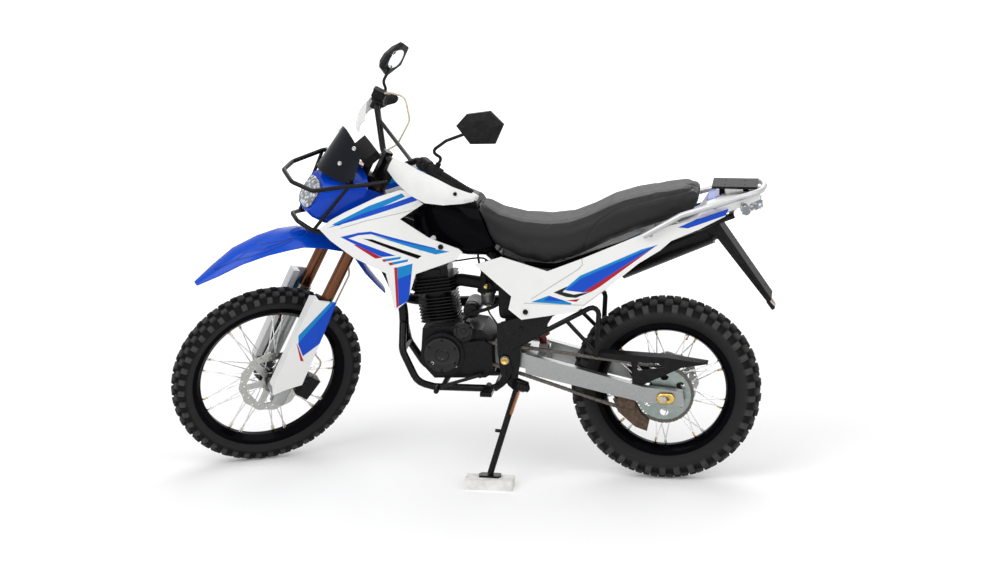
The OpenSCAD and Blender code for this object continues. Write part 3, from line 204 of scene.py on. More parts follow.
class Skin:
    """One procedural material in object coordinates, which are the row frame at rest."""

    def __init__(self, name):
        self.material = bpy.data.materials.new(name)
        self.material.use_nodes = True
        self.tree = self.material.node_tree
        self.shader = self.tree.nodes["Principled BSDF"]
        self.place = Wire.make(self.tree, "ShaderNodeTexCoord", {}, out=3)

    def set(self, **values):
        """Sets or links the shader's sockets by their names in small letters."""
        for key, value in values.items():
            socket = self.shader.inputs[key.replace("_", " ").title().replace("Ior", "IOR")]
            if isinstance(value, Wire):
                self.tree.links.new(value.socket, socket)
            else:
                socket.default_value = (*value, 1) if isinstance(value, tuple) else value
        return self

    def noise(self, scale, detail=2.0):
        return Wire.make(self.tree, "ShaderNodeTexNoise",
                         {"Vector": self.place, "Scale": scale, "Detail": detail})

    def cells(self, scale):
        return Wire.make(self.tree, "ShaderNodeTexVoronoi", {"Vector": self.place, "Scale": scale})

    def along(self, axes, way):
        """Distance in millimetres from the axes' origin along one of their ways."""
        dot = Wire.make(self.tree, "ShaderNodeVectorMath", {0: self.place, 1: tuple(1000 * way)}, out=1,
                        operation="DOT_PRODUCT")
        return dot - float(1000 * axes.o @ way)

    def mix(self, share, a, b):
        """A colour that goes from a to b with the share."""
        full = lambda c: c if isinstance(c, Wire) else (*c, 1)
        return Wire.make(self.tree, "ShaderNodeMix", {0: share, 6: full(a), 7: full(b)}, out=2,
                         data_type="RGBA")

    def relief(self, height, depth, strength=1.0):
        bump = Wire.make(self.tree, "ShaderNodeBump",
                         {"Height": height, "Distance": depth, "Strength": strength})
        return self.set(normal=bump)

    def patch(self, u, v, corners, soft=0.8):
        """1 inside a convex outline, 0 outside: the least of its edges' signed distances, softened."""
        pts = np.array(corners, float)
        turn = np.sum(pts[:, 0] * np.roll(pts[:, 1], -1) - pts[:, 1] * np.roll(pts[:, 0], -1))
        inside = None
        for a, b in zip(pts, np.roll(pts, -1, 0)):
            n = np.array([a[1] - b[1], b[0] - a[0]]) * np.sign(turn)
            n /= np.linalg.norm(n)
            edge = u * float(n[0]) + v * float(n[1]) - float(n @ a)
            inside = edge if inside is None else inside.least(edge)
        return inside.ramp(-soft / 2, soft / 2)


# Finishes: colour, roughness, metal, coat, mottle scale and share, bump scale and depth in metres
FINISHES = {
    "frame_black": ((0.006, 0.006, 0.007), 0.26, 0.0, 0.0, 60, 0.35, 900, 0.00006),
    "cast_black": ((0.006, 0.006, 0.007), 0.3, 0.0, 0.0, 90, 0.4, 1300, 0.00018),
    "cover_black": ((0.003, 0.003, 0.004), 0.17, 0.0, 0.1, 40, 0.2, 900, 0.00003),
    "moulded_black": ((0.012, 0.012, 0.013), 0.5, 0.0, 0.0, 70, 0.3, 1600, 0.00014),
    "gloss_black": ((0.002, 0.002, 0.003), 0.12, 0.0, 0.0, 25, 0.2, 300, 0.00001),
    "blue_panel": ((0.0005, 0.05, 0.5), 0.18, 0.0, 0.06, 18, 0.1, 500, 0.00002),
    "white_panel": ((0.78, 0.78, 0.77), 0.24, 0.0, 0.05, 20, 0.03, 500, 0.00002),
    "alloy": ((0.33, 0.34, 0.335), 0.3, 0.9, 0.0, 130, 0.05, 1500, 0.00003),
    "silver_paint": ((0.5, 0.5, 0.51), 0.38, 0.6, 0.1, 150, 0.05, 1500, 0.00003),
    "bronze": ((0.14, 0.056, 0.028), 0.24, 0.9, 0.0, 12, 0.08, 900, 0.00001),
    "bright_steel": ((0.47, 0.465, 0.44), 0.26, 1.0, 0.0, 180, 0.15, 1400, 0.00003),
    "chrome": ((0.78, 0.78, 0.79), 0.09, 1.0, 0.0, 60, 0.05, 700, 0.00001),
    "hub_grey": ((0.075, 0.077, 0.08), 0.36, 0.8, 0.0, 60, 0.15, 1200, 0.00005),
    "cast_grey": ((0.2, 0.2, 0.2), 0.38, 0.7, 0.0, 90, 0.2, 1300, 0.00012),
    "zinc": ((0.29, 0.34, 0.32), 0.3, 0.9, 0.0, 60, 0.1, 1300, 0.00004),
    "gold_zinc": ((0.66, 0.45, 0.13), 0.3, 0.9, 0.0, 120, 0.25, 1300, 0.00004),
    "chain_steel": ((0.13, 0.115, 0.1), 0.34, 0.85, 0.0, 220, 0.4, 1400, 0.00008),
    "rubber": ((0.013, 0.013, 0.0135), 0.72, 0.0, 0.0, 60, 0.35, 700, 0.00022),
    "smoked": ((0.003, 0.005, 0.009), 0.08, 0.0, 0.15, 20, 0.1, 300, 0.00001),
    "brown_plastic": ((0.095, 0.064, 0.046), 0.5, 0.0, 0.0, 80, 0.3, 900, 0.0001),
    "hose": ((0.6, 0.53, 0.38), 0.42, 0.0, 0.1, 90, 0.12, 900, 0.00003),
    "block": ((0.8, 0.79, 0.76), 0.7, 0.0, 0.0, 30, 0.12, 400, 0.0004),
    "reflector_red": ((0.42, 0.01, 0.01), 0.16, 0.0, 0.5, 120, 0.3, 500, 0.0003),
    "spring_red": ((0.16, 0.006, 0.008), 0.3, 0.0, 0.2, 60, 0.2, 900, 0.00004),
    "mirror_glass": ((0.85, 0.86, 0.88), 0.02, 1.0, 0.0, 20, 0.02, 300, 0.000005),
    "copper": ((0.55, 0.24, 0.1), 0.3, 0.9, 0.0, 90, 0.2, 900, 0.00003),
}

# How much the dark finishes mirror, where it is not the common share
GLOSS = {"gloss_black": 0.03, "frame_black": 0.15, "cast_black": 0.14, "cover_black": 0.3}

NODE_FINISH = {
    "frame_black": ["frame", "clamps", "lamp_guard", "side_stand", "foot_controls", "handlebar", "exhaust"],
    "cast_black": ["engine_case", "cylinder", "front_caliper", "rear_caliper"],
    "moulded_black": ["intake", "rear_fender", "chain_guard", "dash", "mirrors", "rack"],
    "gloss_black": ["tank", "front_rim", "rear_rim"],
    "blue_panel": ["lamp_cowl"],
    "white_panel": ["handguards"],
    "alloy": ["swingarm", "fork_legs"],
    "hub_grey": ["front_hub", "rear_hub"],
    "silver_paint": ["grab_rails"],
    "bronze": ["fork_tubes"],
    "bright_steel": ["front_disc", "rear_disc"],
    "chrome": ["front_spokes", "rear_spokes"],
    "zinc": ["sprocket"],
    "rubber": ["hand_controls"],
    "smoked": ["windscreen"],
    "brown_plastic": ["chain_guide"],
    "hose": ["hoses"],
    "block": ["stand_block"],
    "spring_red": ["rear_shock"],
}

# Stripes: colour and a convex outline, x and z in millimetres, later rows over earlier ones
SHROUD_STRIPES = [
    ("cyan", [(300, 938), (322, 934), (556, 1042), (546, 1054), (430, 1008)]),
    ("blue", [(283, 924), (420, 968), (604, 1031), (600, 1050), (416, 984)]),
    ("blue", [(386, 911), (434, 917), (434, 907), (386, 902)]),
    ("blue", [(434, 917), (649, 854), (645, 847), (434, 907)]),
    ("blue", [(326, 894), (390, 911), (390, 902), (352, 889)]),
    ("red", [(370, 868), (385, 866), (468, 822), (444, 818)]),
    ("blue", [(326, 894), (358, 889), (513, 829), (464, 824), (380, 867)]),
    ("cyan", [(438, 904), (694, 839), (647, 831)]),
    ("cyan", [(476, 817), (532, 826), (528, 817), (480, 808)]),
    ("red", [(466, 815), (477, 817), (481, 808), (471, 806)]),
    ("cyan", [(499, 805), (555, 816), (553, 807), (503, 796)]),
    ("red", [(487, 803), (500, 805), (504, 796), (492, 793)]),
    ("blue", [(516, 786), (569, 800), (550, 665), (514, 642)]),
    ("cyan", [(516, 786), (569, 800), (564, 762), (515, 744)]),
    ("red", [(506, 786), (516, 786), (514, 642), (506, 636)]),
]
PANEL_STRIPES = [
    ("cyan", [(1078, 708), (1138, 762), (1345, 858), (1401, 875), (1171, 719)]),
    ("red", [(1144, 701), (1401, 876), (1202, 722), (1177, 706)]),
    ("blue", [(1088, 708), (1141, 752), (1395, 873), (1171, 719), (1146, 702)]),
    ("black", [(1046, 699), (1094, 723), (1077, 702), (1064, 693)]),
    ("black", [(1060, 694), (1077, 702), (1118, 693), (1124, 682), (1090, 684)]),
    ("black", [(1112, 693), (1177, 706), (1122, 682)]),
    ("cyan", [(967, 662), (1030, 688), (1108, 662), (1104, 657)]),
    ("blue", [(1010, 669), (1034, 686), (1090, 669)]),
    ("red", [(1087, 671), (1136, 679), (1124, 668)]),
    ("blue", [(1466, 935), (1631, 1012), (1634, 980), (1500, 932)]),
]
TAIL_STRIPES = [
    ("blue", [(1543, 1011), (1562, 1034), (1653, 1053), (1632, 1035)]),
    ("cyan", [(1648, 1054), (1740, 1073), (1740, 1062), (1636, 1042)]),
]
PANEL_SEAMS = [[(968, 672), (1132, 784), (1146, 800), (1143, 832)], [(943, 657), (1148, 656), (1226, 716)]]
SHROUD_SEAMS = [[(420, 955), (600, 998)], [(330, 925), (420, 955)]]
# Creases of the front fender, as pixels of the picture; each is sunk and painted darker, as painted shade
FENDER_CREASES = [
    [(214, 270), (246, 252), (292, 238)],
    [(236, 260), (272, 250), (292, 240)],
    [(257, 243), (306, 229)],
]
GUARD_STRIPES = [
    ("cyan", [(-34, 748), (-20, 748), (-78, 560), (-92, 590)]),
    ("blue", [(-22, 748), (0, 748), (-2, 580), (-40, 518), (-80, 560)]),
    ("red", [(-86, 560), (-76, 552), (-28, 500), (-40, 498)]),
]
# Half width and soft edge of a joint line, and of a fender crease with its painted shade, in millimetres
SEAM_HALF, SEAM_SOFT = 1.3, 1.6
MADE = {}


def finish(name):
    """The material of a finish from the table, made once."""
    if name in MADE:
        return MADE[name]
    colour, rough, metal, coat, scale, share, fine, depth = FINISHES[name]
    skin = Skin(name + "_finish")
    mottle = skin.noise(scale, 4.0)
    dark = tuple(c * (1 - share) for c in colour)
    light = tuple(min(1.0, c * (1 + share * 0.6)) for c in colour)
    skin.set(base_color=skin.mix(mottle.ramp(0.3, 0.7), dark, light), metallic=metal, coat_weight=coat)
    skin.set(roughness=skin.noise(scale * 3, 3.0) * 0.16 + (rough - 0.08))
    if metal < 0.5:
        skin.set(specular_ior_level=GLOSS.get(name, 0.09 if max(colour) < 0.03 else 0.16))
    skin.relief(skin.noise(fine, 2.0), depth)
    MADE[name] = skin.material
    return skin.material


def seam_strips(lines, half):
    """Each stretch of a joint line, and of a fender crease, as a thin outline, its two ends moved out by half
    to either side.
    """
    strips = []
    for line in lines:
        for a, b in zip(np.array(line[:-1], float), np.array(line[1:], float)):
            n = np.array([a[1] - b[1], b[0] - a[0]]) / np.linalg.norm(b - a) * half
            strips.append([a + n, b + n, b - n, a - n])
    return strips


def striped(name, axes, stripes, paint, seams=(), ground="white"):
    """Gloss plastic with flat stripes, whose outlines lie in the axes' X and Z, and sunk, darkened lines:
    joint lines between panels, and the fender's creases, whose darkening is painted shade.
    """
    skin = Skin(name)
    u, v = skin.along(axes, axes.x), skin.along(axes, axes.z)
    base = getattr(paint, ground)
    colour = skin.mix(skin.noise(14, 3.0), tuple(c * 0.96 for c in base), tuple(base))
    for key, corners in stripes:
        colour = skin.mix(skin.patch(u, v, corners), colour, tuple(getattr(paint, key)))
    height = skin.noise(500, 2.0) * 0.02
    for strip in seam_strips(seams, SEAM_HALF):
        line = skin.patch(u, v, strip, SEAM_SOFT)
        # Darkened to about a third of the ground: a dark joint between panels, and on the fender painted
        # shade in a crease
        colour = skin.mix(line * 0.6, colour, tuple(c * 0.36 for c in base))
        height = height - line
    skin.set(base_color=colour, roughness=skin.noise(70, 3.0) * 0.1 + 0.17)
    skin.set(coat_weight=0.06, specular_ior_level=0.18)
    skin.relief(height, 0.001)
    return skin.material


def tyre_rubber(end, joint, radius):
    """Tyre rubber: grey on the knobs, which the mesh marks, partly dusty and partly painted highlight on
    their tops; painted darker between them on the crown, as painted shade in the grooves; ringed on the wall.

    A point's radius is the root of the sum of squares of its distances along two ways square to the axle."""
    skin = Skin(end + "_tyre_rubber")
    hub = wheel_axes(joint)
    u, v = skin.along(hub, hub.x), skin.along(hub, hub.z)
    far = (u * u + v * v).math("SQRT")
    # Noise that varies the knobs' grey, partly dusty and partly painted highlight, and the roughness
    dust_and_highlight = skin.noise(55, 4.0)
    knob = Wire.make(skin.tree, "ShaderNodeAttribute", {}, out=2, attribute_name="knob")
    # Darker on the crown between the knobs than on the wall: painted shade in the grooves
    tone = skin.mix(far.ramp(radius - 50, radius - 38), (0.021, 0.021, 0.021), (0.006, 0.006, 0.0065))
    # Knobs lifted to grey by the noise: partly dusty, partly painted highlight on their tops
    tone = skin.mix(knob * (0.3 + dust_and_highlight * 0.8), tone, (0.07, 0.069, 0.067))
    wall = (far * 0.9).wave().ramp(0.2, 0.9) * (1 - far.ramp(radius - 52, radius - 44))
    skin.set(base_color=tone, roughness=dust_and_highlight * 0.2 + 0.6, specular_ior_level=0.12)
    skin.relief(wall * 0.5 + skin.noise(520, 2.0) * 0.4, 0.0006)
    return skin.material


def lamp_glass():
    """Moulded lens whose colour is a painted reflection of a bright bowl behind it: flutes from cells, each
    painted bright in the middle and grey at the border.
    """
    skin = Skin("lamp_glass")
    flutes = skin.cells(75)
    # Painted reflection: each flute bright in its middle and grey at its border, as a lit bowl behind a clear
    # lens would show
    tone = skin.mix(flutes.ramp(0.15, 0.6), (0.8, 0.82, 0.85), (0.16, 0.18, 0.2))
    skin.set(base_color=tone, metallic=0.55, coat_weight=0.8, roughness=skin.noise(60, 2.0) * 0.1 + 0.06)
    skin.relief(flutes, 0.004, 0.8)
    return skin.material


def vinyl():
    """Dark seat cover: pebbled grain from small cells, with slow changes of sheen."""
    skin = Skin("seat_cover_vinyl")
    tone = skin.noise(9, 4.0)
    skin.set(base_color=skin.mix(tone, (0.012, 0.012, 0.013), (0.021, 0.021, 0.022)))
    skin.set(roughness=skin.noise(40, 3.0) * 0.15 + 0.42, specular_ior_level=0.18)
    skin.relief(skin.cells(620) * 0.7 + skin.noise(90, 3.0) * 0.3, 0.0003, 0.5)
    return skin.material


SHELL_OF = {}

# Shells: greatest angle shaded smooth in degrees, edge rounding in millimetres, and the nodes
SHELLS = [
    (40, 3.0, ["tank", "intake"]),
    (38, 1.5, ["shroud_left", "shroud_right", "side_panel_left", "side_panel_right", "tail_cover",
               "handguards", "fork_guards", "lamp_cowl", "engine_case", "swingarm", "clamps", "dash",
               "chain_guide"]),
    (50, 1.0, ["front_fender", "rear_fender", "windscreen", "lamp_lens", "front_indicators", "rear_lamps",
               "rack", "chain_guard", "front_caliper", "rear_caliper", "front_hub", "rear_hub", "fork_legs"]),
    (20, 1.5, ["mirrors"]),
    (42, 0.0, ["frame", "handlebar", "lamp_guard", "exhaust", "grab_rails", "side_stand", "hand_controls",
               "foot_controls", "hoses", "fork_tubes"]),
]
# What merge takes for the shells
NEAR, FLAT = 2e-5, 0.6


def link(name, data):
    """A new object of the data, in the scene."""
    obj = bpy.data.objects.new(name, data)
    bpy.context.scene.collection.objects.link(obj)
    return obj


def merge(mesh, near, flat=None):
    """Makes points nearer than near metres one, and merges facets that turn less than flat degrees."""
    work = bmesh.new()
    work.from_mesh(mesh)
    bmesh.ops.remove_doubles(work, verts=work.verts, dist=near)
    if flat:
        bmesh.ops.dissolve_limit(work, angle_limit=math.radians(flat), verts=work.verts, edges=work.edges)
    work.to_mesh(mesh)
    work.free()


def shell(node, angle, width):
    """A copy of a CAD node, its facets shaded as one surface between sharp edges, which are rounded off."""
    mesh = frame["nodes"][node].data.copy()
    mesh.name = node + "_shell"
    for name in ("custom_normal", "sharp_face", "sharp_edge"):
        if name in mesh.attributes:
            mesh.attributes.remove(mesh.attributes[name])
    merge(mesh, NEAR, FLAT)
    shade(mesh, True, angle)
    obj = link(node + "_shell", mesh)
    if width:
        edge = obj.modifiers.new("edge", "BEVEL")
        edge.width, edge.segments, edge.limit_method = width / 1000, 2, "ANGLE"
        edge.angle_limit = math.radians(angle)
        obj.modifiers.new("even", "WEIGHTED_NORMAL").keep_sharp = True
    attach(obj, frame["nodes"][node]["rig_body"])
    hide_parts(node)
    SHELL_OF[node] = obj


def shade(mesh, smooth, sharp=None):
    """Smooth or flat shading, with sharp edges where faces meet at more than an angle in degrees."""
    mesh.polygons.foreach_set("use_smooth", np.full(len(mesh.polygons), smooth))
    if sharp:
        mesh.set_sharp_from_angle(angle=math.radians(sharp))


def mesh_points(mesh, field="co"):
    """The mesh's points, or their normals, as rows."""
    flat = np.zeros(len(mesh.vertices) * 3)
    mesh.vertices.foreach_get(field, flat)
    return flat.reshape(-1, 3)


def give(name, material):
    """Sets the only material of a CAD node, or of its shell."""
    data = SHELL_OF.get(name, frame["nodes"][name]).data
    data.materials.clear()
    data.materials.append(material)


def piece(name, shape, look, body="chassis", smooth=True, sharp=None):
    """A mesh object of points and quads in the row frame, which rides on a body. Its look is a finish's name
    or a material, and its faces are turned over where its volume comes out negative."""
    verts, faces = shape
    corner = (verts - verts.mean(0))[faces]
    volume = np.sum(corner[:, 0] * np.cross(corner[:, 1] - corner[:, 0], corner[:, 2] - corner[:, 0]))
    mesh = bpy.data.meshes.new(name)
    mesh.from_pydata(verts.tolist(), [], (faces[:, ::-1] if volume < 0 else faces).tolist())
    mesh.materials.append(finish(look) if isinstance(look, str) else look)
    mesh.update()
    shade(mesh, smooth, sharp)
    obj = link(name, mesh)
    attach(obj, body)
    return obj


def grid_faces(rows, cols, wrap_rows=False, wrap_cols=False):
    """Quads of a two-parameter grid of rows by cols points."""
    r = np.arange(rows if wrap_rows else rows - 1)
    c = np.arange(cols if wrap_cols else cols - 1)
    i, j = np.meshgrid(r, c, indexing="ij")
    i1, j1 = (i + 1) % rows, (j + 1) % cols
    return np.stack([i * cols + j, i * cols + j1, i1 * cols + j1, i1 * cols + j], -1).reshape(-1, 4)


def joined(parts):
    """Several (points, quads) as one."""
    verts, faces, n = [], [], 0
    for v, f in parts:
        verts.append(v)
        faces.append(f + n)
        n += len(v)
    return np.concatenate(verts), np.concatenate(faces)


def square_to(way):
    """Two unit ways at right angles to a way, or to each of an array of ways."""
    way = way / np.linalg.norm(way, axis=-1, keepdims=True)
    helper = np.where(np.abs(way[..., 2:3]) < 0.9, [0.0, 0.0, 1.0], [1.0, 0.0, 0.0])
    a = np.cross(way, helper)
    a /= np.linalg.norm(a, axis=-1, keepdims=True)
    return a, np.cross(way, a)


def angles(count):
    """Even angles once round."""
    return np.arange(count) * 2 * math.pi / count


def sweep(path, radius, sides):
    """A closed tube: at each point of the path a circle of the radius in millimetres, square to the path."""
    path = np.asarray(path, float)
    way = np.gradient(path, axis=0)
    a, b = square_to(way)
    for k in range(1, len(path)):
        if a[k] @ a[k - 1] < 0:
            a[k], b[k] = -a[k], -b[k]
    t = angles(sides)
    r = np.broadcast_to(np.asarray(radius, float) / 1000, len(path))[:, None, None]
    ring = a[:, None] * np.cos(t)[:, None] + b[:, None] * np.sin(t)[:, None]
    pts = path[:, None] + r * ring
    pts = np.concatenate([np.repeat(path[:1, None], sides, 1), pts, np.repeat(path[-1:, None], sides, 1)])
    return pts.reshape(-1, 3), grid_faces(len(pts), sides, wrap_cols=True)


def turned(profile, place, way, sides=20):
    """A turned piece: the profile's radii and heights, in millimetres, carried round the way at the place."""
    way = np.asarray(way, float) / np.linalg.norm(way)
    a, b = square_to(way)
    t = angles(sides)
    ring = a * np.cos(t)[:, None] + b * np.sin(t)[:, None]
    pts = np.stack([place + (r * ring + h * way) / 1000 for r, h in profile])
    return pts.reshape(-1, 3), grid_faces(len(profile), sides, wrap_cols=True)


TREES = {}


def landing(node, start, way):
    """Where a ray from start along way meets a CAD node, and the surface's normal there, facing the start."""
    if node not in TREES:
        mesh = frame["nodes"][node].data
        TREES[node] = BVHTree.FromPolygons([v.co for v in mesh.vertices],
                                           [p.vertices for p in mesh.polygons])
    spot, normal, _, _ = TREES[node].ray_cast(Vector(start), Vector(way))
    if spot is None:
        raise ValueError("no surface of %s on the ray from %s" % (node, np.round(start, 3)))
    normal = np.array(normal)
    return np.array(spot), normal * (-1.0 if normal @ np.asarray(way) > 0 else 1.0)


# Where rays onto the machine start, in millimetres to either side of its middle plane
OUTSIDE = 400


def from_side(node, x, z, flip):
    """Where a ray from one side, square to the machine's middle plane, meets a CAD node."""
    return landing(node, BIKE.at((x, OUTSIDE * flip, z)), BIKE.y * -flip)


def camera_back(settings):
    """The way from the target to the camera."""
    az, el = math.radians(settings.azimuth), math.radians(settings.elevation)
    return np.array([math.sin(az) * math.cos(el), -math.cos(az) * math.cos(el), math.sin(el)])


# The camera's sensor in millimetres, and the picture's width and height in pixels
SENSOR, PICTURE = 36.0, (1000, 563)


def sight(settings, pixel):
    """The camera's place and the way from it through a pixel of the picture."""
    back = camera_back(settings)
    right = np.cross([0.0, 0.0, 1.0], back)
    right /= np.linalg.norm(right)
    up = np.cross(back, right)
    shift = (np.array(pixel) - np.array(PICTURE) / 2) * SENSOR / PICTURE[0]
    way = -back * settings.lens + right * shift[0] - up * shift[1]
    return np.array(settings.target) + back * settings.distance, way / np.linalg.norm(way)


def fold(w, power):
    """The signed power that squares off a circle: a power of 2 leaves it round."""
    return np.sign(w) * np.abs(w) ** (2 / power)


def inlay(node, axes, middle, way, half, power=2.4, lift=0.6, start=300, rings=5, sides=40):
    """A thin sheet on a CAD surface: rings of a rounded oblong round the middle, cast on it and lifted.

    A ring's point at angle t is the half sizes times the signed powers of cos t and sin t."""
    way = np.array(way, float) / np.linalg.norm(way)
    u, v = square_to(way)
    t = angles(sides)
    rim = half[0] * fold(np.cos(t), power)[:, None] * u + half[1] * fold(np.sin(t), power)[:, None] * v
    rows = np.array(middle, float) + np.linspace(0.02, 1, rings)[:, None, None] * rim
    starts = axes.at(rows.reshape(-1, 3) - way * start)
    hits = [landing(node, p, axes.way(way)) for p in starts]
    pts = np.array([spot - axes.way(way) * lift / 1000 for spot, _ in hits])
    low = np.array([spot + axes.way(way) * 0.001 for spot, _ in hits])[-sides:]
    pts = np.concatenate([pts, low])
    return pts, grid_faces(rings + 1, sides, wrap_cols=True)


def stadium(axes, middle, size, slot, thick, sides=16):
    """A slotted plate with round ends: two straight runs joined by half circles, in the axes' X and Z."""
    t = np.linspace(-math.pi / 2, math.pi / 2, sides)
    arc = np.stack([np.cos(t), np.zeros(sides), np.sin(t)], -1)
    loop = lambda long, wide: np.concatenate([arc * wide + [long, 0, 0], -arc * wide - [long, 0, 0]])
    out = np.array([0, -1.0, 0]) * thick
    rows = [loop(*size), loop(*size) + out, loop(*slot) + out, loop(*slot)]
    pts = axes.at(np.array(middle) + np.concatenate(rows))
    return pts, grid_faces(4, 2 * sides, wrap_rows=True, wrap_cols=True)


def rounded_box(axes, middle, half, power=7.0, rows=33, cols=48):
    """A rounded box: the half sizes times the signed powers of the cosines and sines of two angles."""
    v, u = np.linspace(-math.pi / 2, math.pi / 2, rows)[:, None], angles(cols)[None]
    ring = fold(np.cos(v), power)
    unit = np.stack([ring * fold(np.cos(u), power), ring * fold(np.sin(u), power),
                     fold(np.sin(v), power) + 0 * u], -1)
    return axes.at(np.array(middle) + unit.reshape(-1, 3) * half), grid_faces(rows, cols, wrap_cols=True)


def bolt(spot, normal, r):
    """A socket-head bolt: a rounded rim with a sunk middle."""
    profile = [(0, 0.25), (0.52, 0.25), (0.56, 0.62), (0.9, 0.62), (1.0, 0.5), (1.0, -0.3)]
    return turned([(a * r, h * r) for a, h in profile], spot, normal)


# Bolts on the chassis: node, x and z in millimetres, sign of Y at its side, radius in millimetres, finish
BOLTS = [
    ("shroud_left", 665, 858, -1, 9, "cast_black"),
    ("shroud_right", 665, 858, 1, 9, "cast_black"),
    ("side_panel_left", 948, 626, -1, 9, "cast_black"),
    ("side_panel_right", 948, 626, 1, 9, "cast_black"),
    ("engine_case", 620, 430, -1, 6, "bright_steel"),
    ("engine_case", 700, 420, -1, 6, "bright_steel"),
    ("engine_case", 690, 500, -1, 6, "bright_steel"),
    ("swingarm", 873, 447, -1, 13, "gold_zinc"),
]

# Fasteners that the picture shows: node, body, axes to mirror them in, pixel, radius in millimetres, finish
SEEN_BOLTS = [
    ("windscreen", "steering", FORK, (354.3, 148.5), 7.5, "bright_steel"),
    ("windscreen", "steering", FORK, (340.0, 163.5), 7.5, "bright_steel"),
    ("handguards", "steering", FORK, (455.0, 194.0), 6.5, "cast_black"),
    ("frame", "chassis", BIKE, (520.7, 328.0), 8, "cast_black"),
]


class ENDURO_OT_finishes(Operator):
    """Gives every CAD node its procedural material"""
    bl_idname = "enduro.finishes"
    bl_label = "Finish the CAD nodes"

    def execute(self, context):
        paint = context.scene.enduro_paint
        for angle, width, nodes in SHELLS:
            for node in nodes:
                shell(node, angle, width)
        for name, nodes in NODE_FINISH.items():
            for node in nodes:
                give(node, finish(name))
        glass = lamp_glass()
        for node in ("lamp_lens", "front_indicators", "rear_lamps"):
            give(node, glass)
        shroud = striped("shroud_white", BIKE, SHROUD_STRIPES, paint, SHROUD_SEAMS)
        panel = striped("panel_white", BIKE, PANEL_STRIPES, paint, PANEL_SEAMS)
        for side in ("left", "right"):
            give("shroud_" + side, shroud)
            give("side_panel_" + side, panel)
        stage = context.scene.enduro_stage
        # The fender's creases: sunk into its surface as real grooves, and darkened as painted shade
        creases = [[FORK.inside(landing("front_fender", *sight(stage, p))[0])[[0, 2]] for p in line]
                   for line in FENDER_CREASES]
        give("front_fender", striped("fender_blue", FORK, [], paint, creases, "blue"))
        give("tail_cover", striped("tail_white", BIKE, TAIL_STRIPES, paint))
        give("fork_guards", striped("guard_white", FORK, GUARD_STRIPES, paint))
        return {"FINISHED"}


class ENDURO_OT_seat(Operator):
    """Swells a soft cover on the seat's solid by cloth pressure and presses its seams in"""
    bl_idname = "enduro.seat"
    bl_label = "Make the seat cover"

    # The side seam's line, and its depth in metres and width in millimetres
    SEAM = [(1147, 850), (1166, 905), (1201, 950), (1250, 985), (1302, 1005), (1420, 1035), (1539, 1060)]
    SEAM_DEPTH, SEAM_WIDTH = 2.8e-3, 3.5

    def execute(self, context):
        s = context.scene.enduro_seat
        obj = link("seat_cover", frame["nodes"]["seat"].data.copy())
        merge(obj.data, 1e-5)
        remesh = obj.modifiers.new("voxels", "REMESH")
        remesh.mode, remesh.voxel_size = "VOXEL", s.voxel
        self.bake(context, obj)
        rest, normal = mesh_points(obj.data), mesh_points(obj.data, "normal")
        start = rest - normal * s.shrink
        self.put(obj.data, start)
        self.swell(context, obj, s)
        move = mesh_points(obj.data) - start
        size = np.linalg.norm(move, axis=1, keepdims=True)
        now = start + move * np.minimum(1.0, s.cap / np.maximum(size, 1e-9))
        over = np.sum((now - rest) * normal, axis=1, keepdims=True)
        self.put(obj.data, now - np.maximum(over, 0) * normal)
        subdivide = obj.modifiers.new("smooth", "SUBSURF")
        subdivide.levels = subdivide.render_levels = 1
        self.bake(context, obj)
        self.press(obj.data)
        shade(obj.data, True)
        obj.data.materials.clear()
        obj.data.materials.append(vinyl())
        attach(obj, "chassis")
        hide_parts("seat")
        return {"FINISHED"}

    def swell(self, context, obj, s):
        """Runs the cloth under pressure, without gravity, and keeps its last shape."""
        cloth = obj.modifiers.new("swell", "CLOTH")
        c = cloth.settings
        c.use_pressure, c.uniform_pressure_force = True, s.pressure
        c.quality, c.mass, c.effector_weights.gravity = 4, 0.3, 0.0
        c.tension_stiffness = c.compression_stiffness = 15.0
        cloth.collision_settings.use_collision = False
        cloth.point_cache.frame_start, cloth.point_cache.frame_end = 1, s.frames
        for k in range(1, s.frames + 1):
            context.scene.frame_set(k)
        self.bake(context, obj)
        context.scene.frame_set(1)

    def press(self, mesh):
        """A seam is a groove: points move in along the normal by a bell curve of their distance to it."""
        pts = mesh_points(mesh)
        b = BIKE.inside(pts)
        line = np.array(self.SEAM, float)
        a, d = line[:-1], np.diff(line, axis=0)
        rel = b[:, None, [0, 2]] - a[None]
        t = np.clip(np.sum(rel * d, -1) / np.sum(d * d, -1), 0, 1)
        far = np.linalg.norm(rel - t[..., None] * d, axis=-1).min(1)
        depth = self.SEAM_DEPTH * np.exp(-(far / self.SEAM_WIDTH) ** 2) * (np.abs(b[:, 1]) > 40)
        self.put(mesh, pts - mesh_points(mesh, "normal") * depth[:, None])

    @staticmethod
    def put(mesh, pts):
        """Moves the mesh's points."""
        mesh.vertices.foreach_set("co", np.ascontiguousarray(pts, dtype=np.float32).ravel())
        mesh.update()

    @staticmethod
    def bake(context, obj):
        """Makes what the modifiers give the object's own mesh."""
        made = bpy.data.meshes.new_from_object(obj.evaluated_get(context.evaluated_depsgraph_get()))
        obj.modifiers.clear()
        obj.data = made


